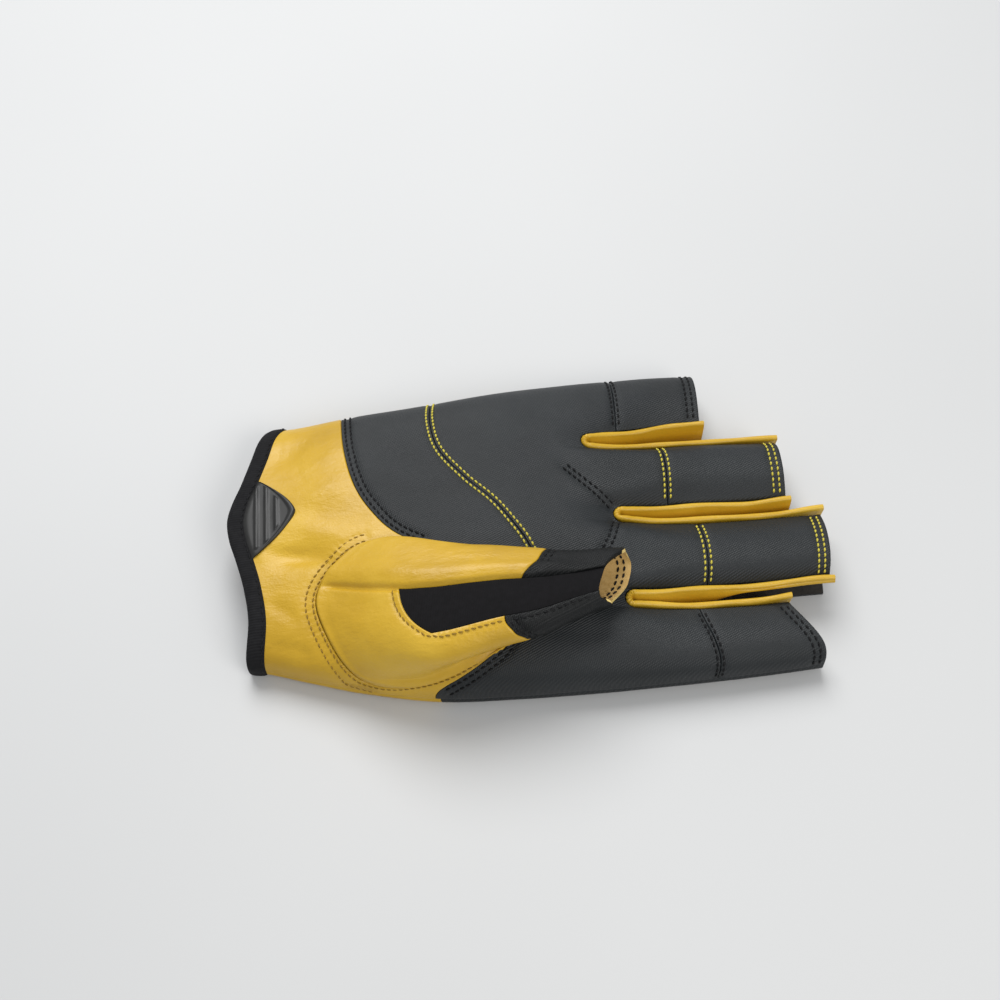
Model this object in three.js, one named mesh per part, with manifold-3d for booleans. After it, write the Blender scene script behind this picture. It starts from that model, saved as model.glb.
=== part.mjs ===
// A right-hand short-finger sailing glove, lying palm up with its thumb folded across the palm.
// Millimetres. +X runs from the cuff to the finger ends, +Y from the thumb side to the little
// finger's side, and +Z up from the surface that the back of the glove lies on.
import * as THREE from "three";
import { mergeVertices } from "three/addons/utils/BufferGeometryUtils.js";
import Module from "manifold-3d";

// Overall sizes
const GLOVE_LENGTH = 175; // cuff point to the end of the middle finger
const PALM_WIDTH = 102; // across the knuckles, side seam to side seam
const PALM_HEIGHT = 24; // highest point of the palm, without the thumb
const SIDE_SEAM_HEIGHT = 5; // height of the seams between the palm side and the back

// Finger tubes, measured from the knuckle line
const INDEX_LENGTH = 54.5;
const MIDDLE_LENGTH = 61.4;
const RING_LENGTH = 52.4;
const LITTLE_LENGTH = 31.4;
const FINGER_ROUNDING = 4.6; // how far a finger's front drops from its crown to its side edge

// Walls and edges
const PALM_LEATHER = 1.4;
const SOFT_LEATHER = 1.3;
const BACK_LEATHER = 1.3;
const STRETCH_FABRIC = 1.5;
const BINDING_WIDTH = 5.5;
const BINDING_PROUD = 0.5; // how far the binding stands over the leather, inside and out
const BEAD_RADIUS = 0.85; // the rolled top edge of a fourchette
const BEAD_PROUD = 1.1; // how far that roll stands over the leather beside it
const FOURCHETTE_OVERHANG = 0.8; // how far a fourchette ends past its finger's leather
const FOURCHETTE_LIFT = 0.5; // from the surface under the glove to a fourchette's lower edge
const CROTCH_SPREAD = 0.55; // from a roll to the middle of the gap, at the crotch
const PATCH_THICKNESS = 1.1;
const PATCH_LENGTH = 30; // along the cuff
const PATCH_DEPTH = 15; // from the binding towards the palm
const PATCH_Y = 0.08; // its middle, in shares of PALM_WIDTH
const PATCH_POWER = 1.5; // how round its tip is
const PATCH_LEAST = 2; // its depth at both ends

// Clearances
const SEAM_GAP = 0.35; // between two pieces that meet at a seam
const THUMB_REST_GAP = 1.2; // between the folded thumb and the palm under it

// Thumb tube
const THUMB_LENGTH = 88.2; // from its root seam by the cuff to its open end
const THUMB_HEIGHT = 35; // highest point of the folded thumb
const INSERT_SINK = 1.2; // how far the stretch insert lies under the leather beside it

// The hand's outline: x is a share of GLOVE_LENGTH, near and far of PALM_WIDTH, and top of PALM_HEIGHT.
const HAND = [
  { x: -0.513, near: -0.335, far: 0.41, top: 0.6 },
  { x: -0.45, near: -0.35, far: 0.414, top: 0.667 },
  { x: -0.375, near: -0.39, far: 0.424, top: 0.77 },
  { x: -0.29, near: -0.434, far: 0.438, top: 0.895 },
  { x: -0.164, near: -0.478, far: 0.456, top: 0.98 },
  { x: -0.032, near: -0.489, far: 0.481, top: 1 },
  { x: 0.094, near: -0.491, far: 0.5, top: 0.92 },
  { x: 0.168, near: -0.489, far: 0.506, top: 0.855 },
  { x: 0.253, near: -0.486, far: 0.511, top: 0.8 },
  { x: 0.339, near: -0.481, far: 0.509, top: 0.75 },
  { x: 0.424, near: -0.473, far: 0.505, top: 0.72 },
  { x: 0.505, near: -0.463, far: 0.5, top: 0.69 },
];
// Soft dents and folds in the palm side. x and reachX are shares of GLOVE_LENGTH, y and reachY of
// PALM_WIDTH, and depth of PALM_HEIGHT.
const DENTS = [
  { x: -0.406, y: 0.27, reachX: 0.045, reachY: 0.06, depth: 0.04 },
  { x: -0.38, y: -0.07, reachX: 0.06, reachY: 0.035, depth: 0.05 },
  { x: -0.34, y: 0.13, reachX: 0.05, reachY: 0.05, depth: -0.03 },
  { x: 0.016, y: 0.12, reachX: 0.12, reachY: 0.13, depth: 0.05 },
  { x: 0.138, y: 0.02, reachX: 0.05, reachY: 0.05, depth: 0.03 },
  { x: -0.045, y: -0.29, reachX: 0.15, reachY: 0.14, depth: 0.11 },
];
const FRONT_FULLNESS = 2.8; // superellipse powers of the palm side and of the back
const BACK_FLATNESS = 5;
const DIP_BEFORE = 0.09; // where the dips between fingers start and end, before and after the knuckle
const DIP_AFTER = 0.08; // line, in shares of GLOVE_LENGTH
const REST_FLATTENING = 0.02; // the part of the back's curve that is pressed flat where it rests

// The gaps between fingers, nearest first. root, middle and end are the gap's place across the glove
// from its crotch to the finger ends, and spread is how much its half width grows on the way, in
// shares of PALM_WIDTH. setback is from the knuckle line, in shares of GLOVE_LENGTH.
const GAPS = [
  { root: -0.269, middle: -0.268, end: -0.255, setback: 0.001, spread: 0.007 },
  { root: -0.007, middle: -0.006, end: 0, setback: 0.001, spread: 0.006 },
  { root: 0.235, middle: 0.268, end: 0.251, setback: 0.04, spread: 0.017 },
];

// The fingers, nearest first. seam is the place of the cross seam, as a share of the way from the
// crotches to the finger's end.
// The near, middle and far columns move its end, in shares of GLOVE_LENGTH.
const FINGERS = [
  { name: "index", length: INDEX_LENGTH, seam: 0.41, near: 0.003, middle: -0.001, far: -0.043 },
  { name: "middle", length: MIDDLE_LENGTH, seam: 0.372, near: -0.006, middle: -0.002, far: 0.001 },
  { name: "ring", length: RING_LENGTH, seam: 0.281, near: 0, middle: 0, far: 0 },
  { name: "little", length: LITTLE_LENGTH, seam: 0.07, near: -0.002, middle: 0.001, far: 0 },
];
const SEAM_BOW = 0.003; // how far a cross seam bows towards the finger's end, in shares of GLOVE_LENGTH

// Curves across the palm side. y runs from -1 at the near side seam to 1 at the far one, and x is
// a share of GLOVE_LENGTH.
const CUFF_EDGE = [
  { y: -1, x: -0.473 },
  { y: -0.71, x: -0.465 },
  { y: -0.45, x: -0.472 },
  { y: -0.22, x: -0.485 },
  { y: -0.05, x: -0.496 },
  { y: 0.11, x: -0.5 },
  { y: 0.25, x: -0.493 },
  { y: 0.43, x: -0.477 },
  { y: 0.67, x: -0.46 },
  { y: 0.87, x: -0.447 },
  { y: 1, x: -0.43 },
];
const PALM_EDGE = [
  { y: -1, x: -0.173 },
  { y: -0.94, x: -0.128 },
  { y: -0.87, x: -0.091 },
  { y: -0.78, x: -0.058 },
  { y: -0.62, x: -0.05 },
  { y: -0.42, x: -0.08 },
  { y: -0.25, x: -0.136 },
  { y: -0.07, x: -0.218 },
  { y: 0.1, x: -0.257 },
  { y: 0.3, x: -0.283 },
  { y: 0.6, x: -0.299 },
  { y: 1, x: -0.305 },
];
const PALM_SEAM = [
  { y: -1, x: -0.035 },
  { y: -0.6, x: -0.012 },
  { y: -0.4, x: 0.01 },
  { y: -0.2, x: -0.006 },
  { y: -0.05, x: -0.029 },
  { y: 0.1, x: -0.056 },
  { y: 0.27, x: -0.097 },
  { y: 0.5, x: -0.138 },
  { y: 0.75, x: -0.15 },
  { y: 1, x: -0.145 },
];
const BACK_CUFF_EDGE = [
  { y: -1, x: -0.473 },
  { y: -0.5, x: -0.474 },
  { y: 0, x: -0.467 },
  { y: 0.5, x: -0.455 },
  { y: 1, x: -0.43 },
];
const BACK_SEAM = [
  { y: -1, x: -0.165 },
  { y: -0.6, x: -0.024 },
  { y: 0, x: 0.042 },
  { y: 0.6, x: 0.047 },
  { y: 1, x: 0.032 },
];

// The thumb tube: x is a share of THUMB_LENGTH from the root seam, near and far of PALM_WIDTH,
// and bottom and top of THUMB_HEIGHT.
const THUMB = [
  { x: -0.05, near: -0.36, far: -0.15, bottom: 0.17, top: 0.5 },
  { x: 0.115, near: -0.445, far: -0.105, bottom: 0.15, top: 0.7 },
  { x: 0.25, near: -0.46, far: -0.088, bottom: 0.26, top: 0.85 },
  { x: 0.4, near: -0.458, far: -0.11, bottom: 0.5, top: 0.94 },
  { x: 0.56, near: -0.43, far: -0.134, bottom: 0.59, top: 0.985 },
  { x: 0.685, near: -0.411, far: -0.157, bottom: 0.63, top: 1 },
  { x: 0.8, near: -0.373, far: -0.174, bottom: 0.63, top: 0.985 },
  { x: 0.915, near: -0.34, far: -0.173, bottom: 0.62, top: 0.96 },
  { x: 1.02, near: -0.32, far: -0.174, bottom: 0.6, top: 0.94 },
];
const THUMB_FULLNESS = 2.3;
// Round the tube, with angle 0 at its far side, 90 on top, 180 near and 270 beneath. rootX and round
// place the root seam on the palm side: round goes from 0 at the near side seam to 1 at the far one.
// lift raises the seam where it is under the thumb, as a share of THUMB_REST_GAP. end and tip are
// where the tube and its yellow leather end, in shares of THUMB_LENGTH. rootX is a share of
// GLOVE_LENGTH.
const THUMB_ROUND = [
  { angle: 0, rootX: 0.138, round: 0.473, lift: 0.7, end: 0.985, tip: 0.74 },
  { angle: 45, rootX: 0.055, round: 0.469, lift: 0, end: 0.968, tip: 0.712 },
  { angle: 90, rootX: 0, round: 0.383, lift: 0, end: 0.9, tip: 0.63 },
  { angle: 135, rootX: 0.01, round: 0.267, lift: 0, end: 0.88, tip: 0.575 },
  { angle: 180, rootX: 0.067, round: 0.06, lift: 0, end: 0.92, tip: 0.64 },
  { angle: 225, rootX: 0.143, round: 0.07, lift: 0.6, end: 0.925, tip: 0.68 },
  { angle: 270, rootX: 0.274, round: 0.253, lift: 1, end: 0.985, tip: 0.71 },
  { angle: 315, rootX: 0.223, round: 0.39, lift: 1, end: 1, tip: 0.75 },
];
const THUMB_BLEND = 0.3; // share of THUMB_LENGTH in which the root seam's shape fades into the tube
const INSERT_FAR_ANGLE = 85; // the insert's two long edges round the tube
const INSERT_NEAR_ANGLE = 125;
const INSERT_START_FAR = 0.262; // where the insert begins, in shares of THUMB_LENGTH
const INSERT_START_NEAR = 0.355;
const HOLE_CLEARANCE = 0.7; // between the thumb's root seam and the wrist panel round it

// How finely the faceted pieces follow the shape, in cells
const LOBE_CELLS = [9, 6, 6, 8];
const BACK_LOBE_CELLS = [4, 3, 3, 4];
const GAP_CELLS = 4;

const THUMB_START = -GLOVE_LENGTH * 0.35;
const KNUCKLE_X = GLOVE_LENGTH / 2 - MIDDLE_LENGTH - FOURCHETTE_OVERHANG;
const SLOT_RADIUS = 2 * BEAD_RADIUS + CROTCH_SPREAD + SEAM_GAP;

const wasm = await Module();
wasm.setup();

const { clamp, lerp, degToRad } = THREE.MathUtils;

function smoothstep(t) {
  const s = clamp(t, 0, 1);
  return s * s * (3 - 2 * s);
}

// One column of a table, read at a place on a smooth curve through its rows.
function read(rows, column, at, key = "x") {
  const last = rows.length - 1;
  if (at <= rows[0][key]) return rows[0][column];
  if (at >= rows[last][key]) return rows[last][column];
  let i = 0;
  while (at > rows[i + 1][key]) i += 1;
  const slope = (a, b) => (rows[b][column] - rows[a][column]) / (rows[b][key] - rows[a][key]);
  const width = rows[i + 1][key] - rows[i][key];
  const t = (at - rows[i][key]) / width;
  const m0 = width * slope(Math.max(i - 1, 0), i + 1);
  const m1 = width * slope(i, Math.min(i + 2, last));
  const [t2, t3] = [t * t, t * t * t];
  return (
    (2 * t3 - 3 * t2 + 1) * rows[i][column] +
    (t3 - 2 * t2 + t) * m0 +
    (3 * t2 - 2 * t3) * rows[i + 1][column] +
    (t3 - t2) * m1
  );
}

// The same for a table that goes once round the thumb.
function readRound(column, angle) {
  const turn = 360;
  const a = ((angle % turn) + turn) % turn;
  const rows = [-turn, 0, turn].flatMap((shift) =>
    THUMB_ROUND.map((row) => ({ ...row, angle: row.angle + shift })),
  );
  return read(rows, column, a, "angle");
}

// The hand at one place along it
function handAt(x) {
  const share = x / GLOVE_LENGTH;
  const near = read(HAND, "near", share) * PALM_WIDTH;
  const far = read(HAND, "far", share) * PALM_WIDTH;
  const top = read(HAND, "top", share) * PALM_HEIGHT;
  return { middle: (near + far) / 2, half: (far - near) / 2, top };
}

// How far the palm side is dented over a point of the plan
function dentAt(x, y) {
  return DENTS.reduce((sum, dent) => {
    const dx = (x - dent.x * GLOVE_LENGTH) / (dent.reachX * GLOVE_LENGTH);
    const dy = (y - dent.y * PALM_WIDTH) / (dent.reachY * PALM_WIDTH);
    return sum + dent.depth * PALM_HEIGHT * Math.exp(-dx * dx - dy * dy);
  }, 0);
}

// Height, over a point of the plan, of a surface that stands proud of the palm side
function palmHeight(x, y, proud = 0) {
  const { middle, half, top } = handAt(x);
  const across = clamp(Math.abs(y - middle) / (half + proud), 0, 1);
  const rise = Math.pow(1 - Math.pow(across, FRONT_FULLNESS), 1 / FRONT_FULLNESS);
  return SIDE_SEAM_HEIGHT + (top + proud - dentAt(x, y) - SIDE_SEAM_HEIGHT) * rise;
}

function crotch(gap) {
  return {
    x: KNUCKLE_X - gap.setback * GLOVE_LENGTH + SLOT_RADIUS,
    y: gap.root * PALM_WIDTH,
  };
}

// How far x is along a gap, from 0 at its crotch to 1 at the finger ends
function gapShare(gap, x) {
  const start = crotch(gap).x;
  return clamp((x - start) / (GLOVE_LENGTH / 2 - start), 0, 1);
}

// The middle of a gap between fingers, at x
function gapY(gap, x) {
  const rows = [
    { t: 0, y: gap.root },
    { t: 0.5, y: gap.middle },
    { t: 1, y: gap.end },
  ];
  return read(rows, "y", gapShare(gap, x), "t") * PALM_WIDTH;
}

// Half of a gap's width between the leather on both sides. The fingers stand a little further
// apart at the middle of their length.
function gapHalf(gap, x) {
  const t = gapShare(gap, x);
  return SLOT_RADIUS + gap.spread * PALM_WIDTH * 4 * t * (1 - t);
}

// How far the leather dips towards a gap, from nothing on the palm to all of it along the fingers
function dipAt(x) {
  const start = KNUCKLE_X - DIP_BEFORE * GLOVE_LENGTH;
  const end = KNUCKLE_X + DIP_AFTER * GLOVE_LENGTH;
  return FINGER_ROUNDING * smoothstep((x - start) / (end - start));
}

function dipPower(x) {
  return lerp(6, 2.6, smoothstep((x - KNUCKLE_X) / (GLOVE_LENGTH * 0.12)));
}

// A share across one finger, from its near to its far edge, as a share of its dip
function dipShare(finger, s, power) {
  const outer = 0.4; // the outer fingers are plain for this share, on their outer side
  if (finger === 0) return Math.pow(clamp((s - outer) / (1 - outer), 0, 1), power);
  if (finger === FINGERS.length - 1) return Math.pow(clamp((1 - outer - s) / (1 - outer), 0, 1), power);
  return Math.pow(Math.abs(2 * s - 1), power);
}

// Angle shares round half a section, 0 near and 1 far, and the share across that they stand at
const acrossOf = (v, power) => {
  const c = -Math.cos(Math.PI * v);
  return Math.sign(c) * Math.pow(Math.abs(c), 2 / power);
};
const angleOf = (across, power) => {
  const c = clamp(across, -1, 1);
  return Math.acos(-Math.sign(c) * Math.pow(Math.abs(c), power / 2)) / Math.PI;
};

// The columns of a panel's grid: each stands at a share across one finger, or across one gap.
function columnsOf(lobeCells) {
  const columns = [];
  lobeCells.forEach((cells, finger) => {
    for (let i = 0; i <= cells; i += 1) columns.push({ finger, s: i / cells });
    if (finger < GAPS.length) {
      for (let i = 1; i < GAP_CELLS; i += 1) {
        columns.push({ gap: finger, s: Math.sin(Math.PI * (i / GAP_CELLS - 0.5)) });
      }
    }
  });
  return columns;
}

// The two sides of the hand: what their points are, and how wide their slots are
const FRONT = {
  power: FRONT_FULLNESS,
  half: gapHalf,
  radius: SLOT_RADIUS,
  outward: 1,
};
const BACK = {
  power: BACK_FLATNESS,
  half: (gap, x) => gapHalf(gap, x) - BEAD_RADIUS + SOFT_LEATHER / 2,
  radius: SLOT_RADIUS - BEAD_RADIUS + SOFT_LEATHER / 2,
  outward: -1,
};

// A column's angle share at x
function columnAngle(side, column, x) {
  const { middle, half } = handAt(x);
  const at = (y) => angleOf((y - middle) / half, side.power);
  const edge = (gap, sign) => at(gapY(gap, x) + sign * side.half(gap, x));
  if (column.gap !== undefined) {
    const gap = GAPS[column.gap];
    return at(gapY(gap, x) + column.s * side.half(gap, x));
  }
  const near = column.finger === 0 ? 0 : edge(GAPS[column.finger - 1], 1);
  const far = column.finger === FINGERS.length - 1 ? 1 : edge(GAPS[column.finger], -1);
  return lerp(near, far, column.s);
}

// A point of the hand's outer surface
function handPoint(side, column, x) {
  const { middle, half, top } = handAt(x);
  const across = acrossOf(columnAngle(side, column, x), side.power);
  const rise = Math.pow(1 - Math.pow(Math.abs(across), side.power), 1 / side.power);
  const y = middle + half * across;
  if (side === BACK) {
    const curl = Math.max(0, 1 - rise - REST_FLATTENING) / (1 - REST_FLATTENING);
    return new THREE.Vector3(x, y, SIDE_SEAM_HEIGHT * curl);
  }
  const share = column.gap === undefined ? dipShare(column.finger, column.s, dipPower(x)) : 1;
  const z = SIDE_SEAM_HEIGHT + (top - dentAt(x, y) - SIDE_SEAM_HEIGHT) * rise - dipAt(x) * share;
  return new THREE.Vector3(x, y, z);
}

// Where a curve across the hand meets a column
function curveX(curve, side, column, shift = 0) {
  let x = 0;
  for (let pass = 0; pass < 5; pass += 1) {
    const across = acrossOf(columnAngle(side, column, x), side.power);
    x = read(curve, "x", across, "y") * GLOVE_LENGTH + shift;
  }
  return x;
}

// Where the fingers part
function knuckleX(side, column) {
  if (column.gap !== undefined) {
    return crotch(GAPS[column.gap]).x - side.radius * Math.sqrt(1 - column.s * column.s);
  }
  const near = crotch(GAPS[Math.max(column.finger - 1, 0)]).x;
  const far = crotch(GAPS[Math.min(column.finger, GAPS.length - 1)]).x;
  return lerp(near, far, smoothstep(column.s));
}

function fingerEnd(finger, s) {
  const rows = [
    { s: 0, x: finger.near },
    { s: 0.5, x: finger.middle },
    { s: 1, x: finger.far },
  ];
  return KNUCKLE_X + finger.length + read(rows, "x", s, "s") * GLOVE_LENGTH;
}

function fingerSeam(finger, s) {
  const bow = SEAM_BOW * GLOVE_LENGTH * (1 - (2 * s - 1) ** 2);
  return lerp(KNUCKLE_X + SLOT_RADIUS, fingerEnd(finger, s), finger.seam) + bow;
}

// A grid of outer points between curves, with cells[i] rows of cells in block i, and the outward
// normal at each point
function makeGrid(side, columns, curves, cells) {
  const points = [];
  const blockStart = [];
  cells.forEach((count, block) => {
    blockStart.push(points.length);
    for (let i = block === 0 ? 0 : 1; i <= count; i += 1) {
      points.push(
        columns.map((column) => {
          const x = lerp(curves[block](column), curves[block + 1](column), i / count);
          return handPoint(side, column, x);
        }),
      );
    }
  });
  const starts = blockStart.map((start, block) => (block === 0 ? 0 : start - 1));
  const parted = starts[side === FRONT ? 3 : 2];
  const joined = (r, c0, c1) => r <= parted || columns[c0].finger === columns[c1].finger;
  const normals = points.map((row, r) =>
    row.map((p, c) => {
      const along = points[Math.min(r + 1, points.length - 1)][c]
        .clone()
        .sub(points[Math.max(r - 1, 0)][c]);
      const c0 = c > 0 && joined(r, c - 1, c) ? c - 1 : c;
      const c1 = c < row.length - 1 && joined(r, c, c + 1) ? c + 1 : c;
      const across = row[c1].clone().sub(row[c0]);
      const normal = along.cross(across).multiplyScalar(side.outward);
      // The side seams stand upright, so that the palm side and the back meet face to face.
      if (c === 0 || c === row.length - 1) normal.set(0, c === 0 ? -1 : 1, 0);
      return normal.normalize();
    }),
  );
  return { points, normals, columns, starts: [...starts, points.length - 1] };
}

// Moves a grid's points along their normals
function offset(grid, distance) {
  return grid.points.map((row, r) =>
    row.map((p, c) => p.clone().addScaledVector(grid.normals[r][c], distance)),
  );
}

// One closed solid from chosen cells of a grid of outer points and the inner points under them.
// The solid's edges stand back by half a seam gap from where its neighbours begin.
function solidFromCells(outer, inner, keep, wraps = false) {
  const rows = outer.length;
  const columns = outer[0].length;
  const columnAt = (c) => (wraps ? (c + columns) % columns : c);
  const lastCell = wraps ? columns : columns - 1;
  const kept = (r, c) => {
    if (r < 0 || r >= rows - 1) return false;
    const cell = wraps ? columnAt(c) : c;
    return cell >= 0 && cell < lastCell && keep(r, cell);
  };
  const moved = (points, r, c) => {
    const p = points[r][c].clone();
    const [low, high] = [kept(r - 1, c) || kept(r - 1, c - 1), kept(r, c) || kept(r, c - 1)];
    const [left, right] = [kept(r, c - 1) || kept(r - 1, c - 1), kept(r, c) || kept(r - 1, c)];
    const at = (r2, c2) => points[r2][columnAt(c2)];
    // A step square to the edge that runs from before to after, towards a point inside it
    const step = (inside, before, after) => {
      const edge = after.clone().sub(before).normalize();
      const way = inside.clone().sub(points[r][c]);
      way.addScaledVector(edge, -way.dot(edge)).normalize();
      p.addScaledVector(way, SEAM_GAP / 2);
    };
    if (low !== high) {
      const row = high ? r : r - 1;
      const [before, after] = [kept(row, c - 1) ? c - 1 : c, kept(row, c) ? c + 1 : c];
      step(at(high ? r + 1 : r - 1, c), at(r, before), at(r, after));
    }
    if (left !== right) {
      const column = right ? c : c - 1;
      const [before, after] = [kept(r - 1, column) ? r - 1 : r, kept(r, column) ? r + 1 : r];
      step(at(r, right ? c + 1 : c - 1), at(before, c), at(after, c));
    }
    return p;
  };
  const positions = [];
  const index = new Map();
  const vertex = (points, layer, r, cell) => {
    const c = columnAt(cell);
    const key = (r * columns + c) * 2 + layer;
    if (!index.has(key)) {
      index.set(key, positions.length / 3);
      positions.push(...moved(points, r, c).toArray());
    }
    return index.get(key);
  };
  const triangles = [];
  const quad = (a, b, c, d) => triangles.push(a, b, c, a, c, d);
  for (let r = 0; r < rows - 1; r += 1) {
    for (let c = 0; c < lastCell; c += 1) {
      if (!kept(r, c)) continue;
      const corners = [
        [r, c],
        [r + 1, c],
        [r + 1, c + 1],
        [r, c + 1],
      ];
      const top = corners.map(([i, j]) => vertex(outer, 0, i, j));
      const under = corners.map(([i, j]) => vertex(inner, 1, i, j));
      quad(...top);
      quad(under[3], under[2], under[1], under[0]);
      const beside = [kept(r, c - 1), kept(r + 1, c), kept(r, c + 1), kept(r - 1, c)];
      beside.forEach((there, side) => {
        const next = (side + 1) % 4;
        if (!there) quad(top[next], top[side], under[side], under[next]);
      });
    }
  }
  return facingOut(positions, triangles);
}

// A solid, with its faces turned round if they point inwards
function facingOut(positions, triangles) {
  const [a, b, c] = [new THREE.Vector3(), new THREE.Vector3(), new THREE.Vector3()];
  let volume = 0;
  for (let i = 0; i < triangles.length; i += 3) {
    a.fromArray(positions, triangles[i] * 3);
    b.fromArray(positions, triangles[i + 1] * 3);
    c.fromArray(positions, triangles[i + 2] * 3);
    volume += a.dot(b.cross(c));
  }
  const geometry = new THREE.BufferGeometry();
  geometry.setAttribute("position", new THREE.Float32BufferAttribute(positions, 3));
  geometry.setIndex(volume < 0 ? triangles.toReversed() : triangles);
  return geometry;
}

function toManifold(geometry) {
  const bare = geometry.clone();
  bare.deleteAttribute("normal");
  bare.deleteAttribute("uv");
  const merged = mergeVertices(bare, 1e-4);
  return new wasm.Manifold(
    new wasm.Mesh({
      numProp: 3,
      vertProperties: merged.attributes.position.array,
      triVerts: new Uint32Array(merged.index.array),
    }),
  );
}

function toGeometry(solid) {
  const mesh = solid.getMesh();
  const geometry = new THREE.BufferGeometry();
  geometry.setAttribute("position", new THREE.BufferAttribute(mesh.vertProperties, mesh.numProp));
  geometry.setIndex(new THREE.BufferAttribute(mesh.triVerts, 1));
  return geometry;
}

const blackLeather = new THREE.MeshStandardMaterial({ color: 0x2c2f31, roughness: 0.5, metalness: 0 });
const yellowLeather = new THREE.MeshStandardMaterial({ color: 0xd9a52c, roughness: 0.55, metalness: 0 });
const blackStretch = new THREE.MeshStandardMaterial({ color: 0x17161a, roughness: 0.95, metalness: 0 });
const blackBinding = new THREE.MeshStandardMaterial({ color: 0x131315, roughness: 0.85, metalness: 0 });
const darkRubber = new THREE.MeshStandardMaterial({ color: 0x3a3935, roughness: 0.4, metalness: 0 });

const glove = new THREE.Group();

function addPiece(name, geometry, material) {
  const flat = geometry.index ? geometry.toNonIndexed() : geometry;
  flat.computeVertexNormals();
  const mesh = new THREE.Mesh(flat, material);
  mesh.name = name;
  glove.add(mesh);
}

// The palm side: a wrist panel, the heel of the palm, the panel that runs out into the fingers, and a
// panel round the end of each finger
const frontColumns = columnsOf(LOBE_CELLS);
const fingerOf = (column) => FINGERS[column.finger ?? 0];
const frontGrid = makeGrid(
  FRONT,
  frontColumns,
  [
    (column) => curveX(CUFF_EDGE, FRONT, column, BINDING_WIDTH),
    (column) => curveX(PALM_EDGE, FRONT, column),
    (column) => curveX(PALM_SEAM, FRONT, column),
    (column) => knuckleX(FRONT, column),
    (column) => fingerSeam(fingerOf(column), column.s),
    (column) => fingerEnd(fingerOf(column), column.s),
  ],
  [6, 4, 6, 4, 5],
);
const [, edgeRow, seamRow, partRow, crossRow] = frontGrid.starts;
const onFinger = (columns, c) =>
  columns[c].gap === undefined && columns[c].finger === columns[c + 1].finger;
// Near the thumb the heel panel stops, and the finger panel runs on beside it to the palm's edge.
const HEEL_FIRST_COLUMN = 7;

// The thumb's grid goes once round the tube. Its first columns lie under the insert.
const INSERT_CELLS = 5;
const THUMB_CELLS = 26;
const thumbAngle = (c) => {
  if (c <= INSERT_CELLS) return lerp(INSERT_FAR_ANGLE, INSERT_NEAR_ANGLE, c / INSERT_CELLS);
  const t = (c - INSERT_CELLS) / (THUMB_CELLS - INSERT_CELLS);
  return lerp(INSERT_NEAR_ANGLE, INSERT_FAR_ANGLE + 360, t);
};

// A point of the thumb's root seam, and the palm side's outward normal there
function thumbRoot(angle) {
  const x = THUMB_START + readRound("rootX", angle) * GLOVE_LENGTH;
  const across = acrossOf(clamp(readRound("round", angle), 0, 1), FRONT_FULLNESS);
  const lift = readRound("lift", angle) * THUMB_REST_GAP;
  const { middle, half, top } = handAt(x);
  const sine = Math.sqrt(1 - Math.pow(Math.abs(across), FRONT_FULLNESS));
  const rise = Math.pow(sine, 2 / FRONT_FULLNESS);
  const bend = Math.sign(across) * Math.pow(Math.abs(across), FRONT_FULLNESS - 1);
  const normal = new THREE.Vector3(
    0,
    bend * (top - SIDE_SEAM_HEIGHT),
    Math.pow(rise, FRONT_FULLNESS - 1) * half,
  ).normalize();
  const y = middle + half * across;
  const seam = new THREE.Vector3(x, y, palmHeight(x, y));
  return { seam, point: seam.clone().addScaledVector(normal, lift), normal };
}

// The plug that cuts the thumb's hole out of the wrist panel, a little wider than the root seam
function thumbPlug() {
  const [above, below] = [4, -6];
  const roots = [];
  for (let c = 0; c < THUMB_CELLS; c += 1) roots.push(thumbRoot(thumbAngle(c)));
  const rings = [above, below].map((height) =>
    roots.map(({ seam, normal }, c) => {
      const before = roots[(c + THUMB_CELLS - 1) % THUMB_CELLS].seam;
      const after = roots[(c + 1) % THUMB_CELLS].seam;
      const outward = after.clone().sub(before).cross(normal).normalize();
      return seam.clone().addScaledVector(outward, HOLE_CLEARANCE).addScaledVector(normal, height);
    }),
  );
  const centres = rings.map((ring, i) => {
    const centre = new THREE.Vector3();
    ring.forEach((p) => centre.addScaledVector(p, 1 / ring.length));
    centre.z += i === 0 ? 6 : 0;
    return centre;
  });
  const positions = [...rings[0], ...rings[1], ...centres].flatMap((p) => p.toArray());
  const triangles = [];
  for (let c = 0; c < THUMB_CELLS; c += 1) {
    const d = (c + 1) % THUMB_CELLS;
    const [c2, d2] = [c + THUMB_CELLS, d + THUMB_CELLS];
    triangles.push(c, c2, d2, c, d2, d);
    triangles.push(2 * THUMB_CELLS, c, d);
    triangles.push(2 * THUMB_CELLS + 1, d2, c2);
  }
  return toManifold(facingOut(positions, triangles));
}

const wristPanel = solidFromCells(
  frontGrid.points,
  offset(frontGrid, -SOFT_LEATHER),
  (r) => r < edgeRow,
);
addPiece("wrist_panel", toGeometry(toManifold(wristPanel).subtract(thumbPlug())), yellowLeather);

const palmInner = offset(frontGrid, -PALM_LEATHER);
const isHeel = (r, c) => r >= edgeRow && r < seamRow && c >= HEEL_FIRST_COLUMN;
addPiece("palm_heel_panel", solidFromCells(frontGrid.points, palmInner, isHeel), blackLeather);
addPiece(
  "palm_finger_panel",
  solidFromCells(frontGrid.points, palmInner, (r, c) => {
    if (r < edgeRow || isHeel(r, c) || r >= crossRow) return false;
    return r < partRow || onFinger(frontColumns, c);
  }),
  blackLeather,
);
FINGERS.forEach((finger, i) => {
  const keep = (r, c) => r >= crossRow && onFinger(frontColumns, c) && frontColumns[c].finger === i;
  const geometry = solidFromCells(frontGrid.points, palmInner, keep);
  addPiece(`finger_end_${finger.name}`, geometry, blackLeather);
});

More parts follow.
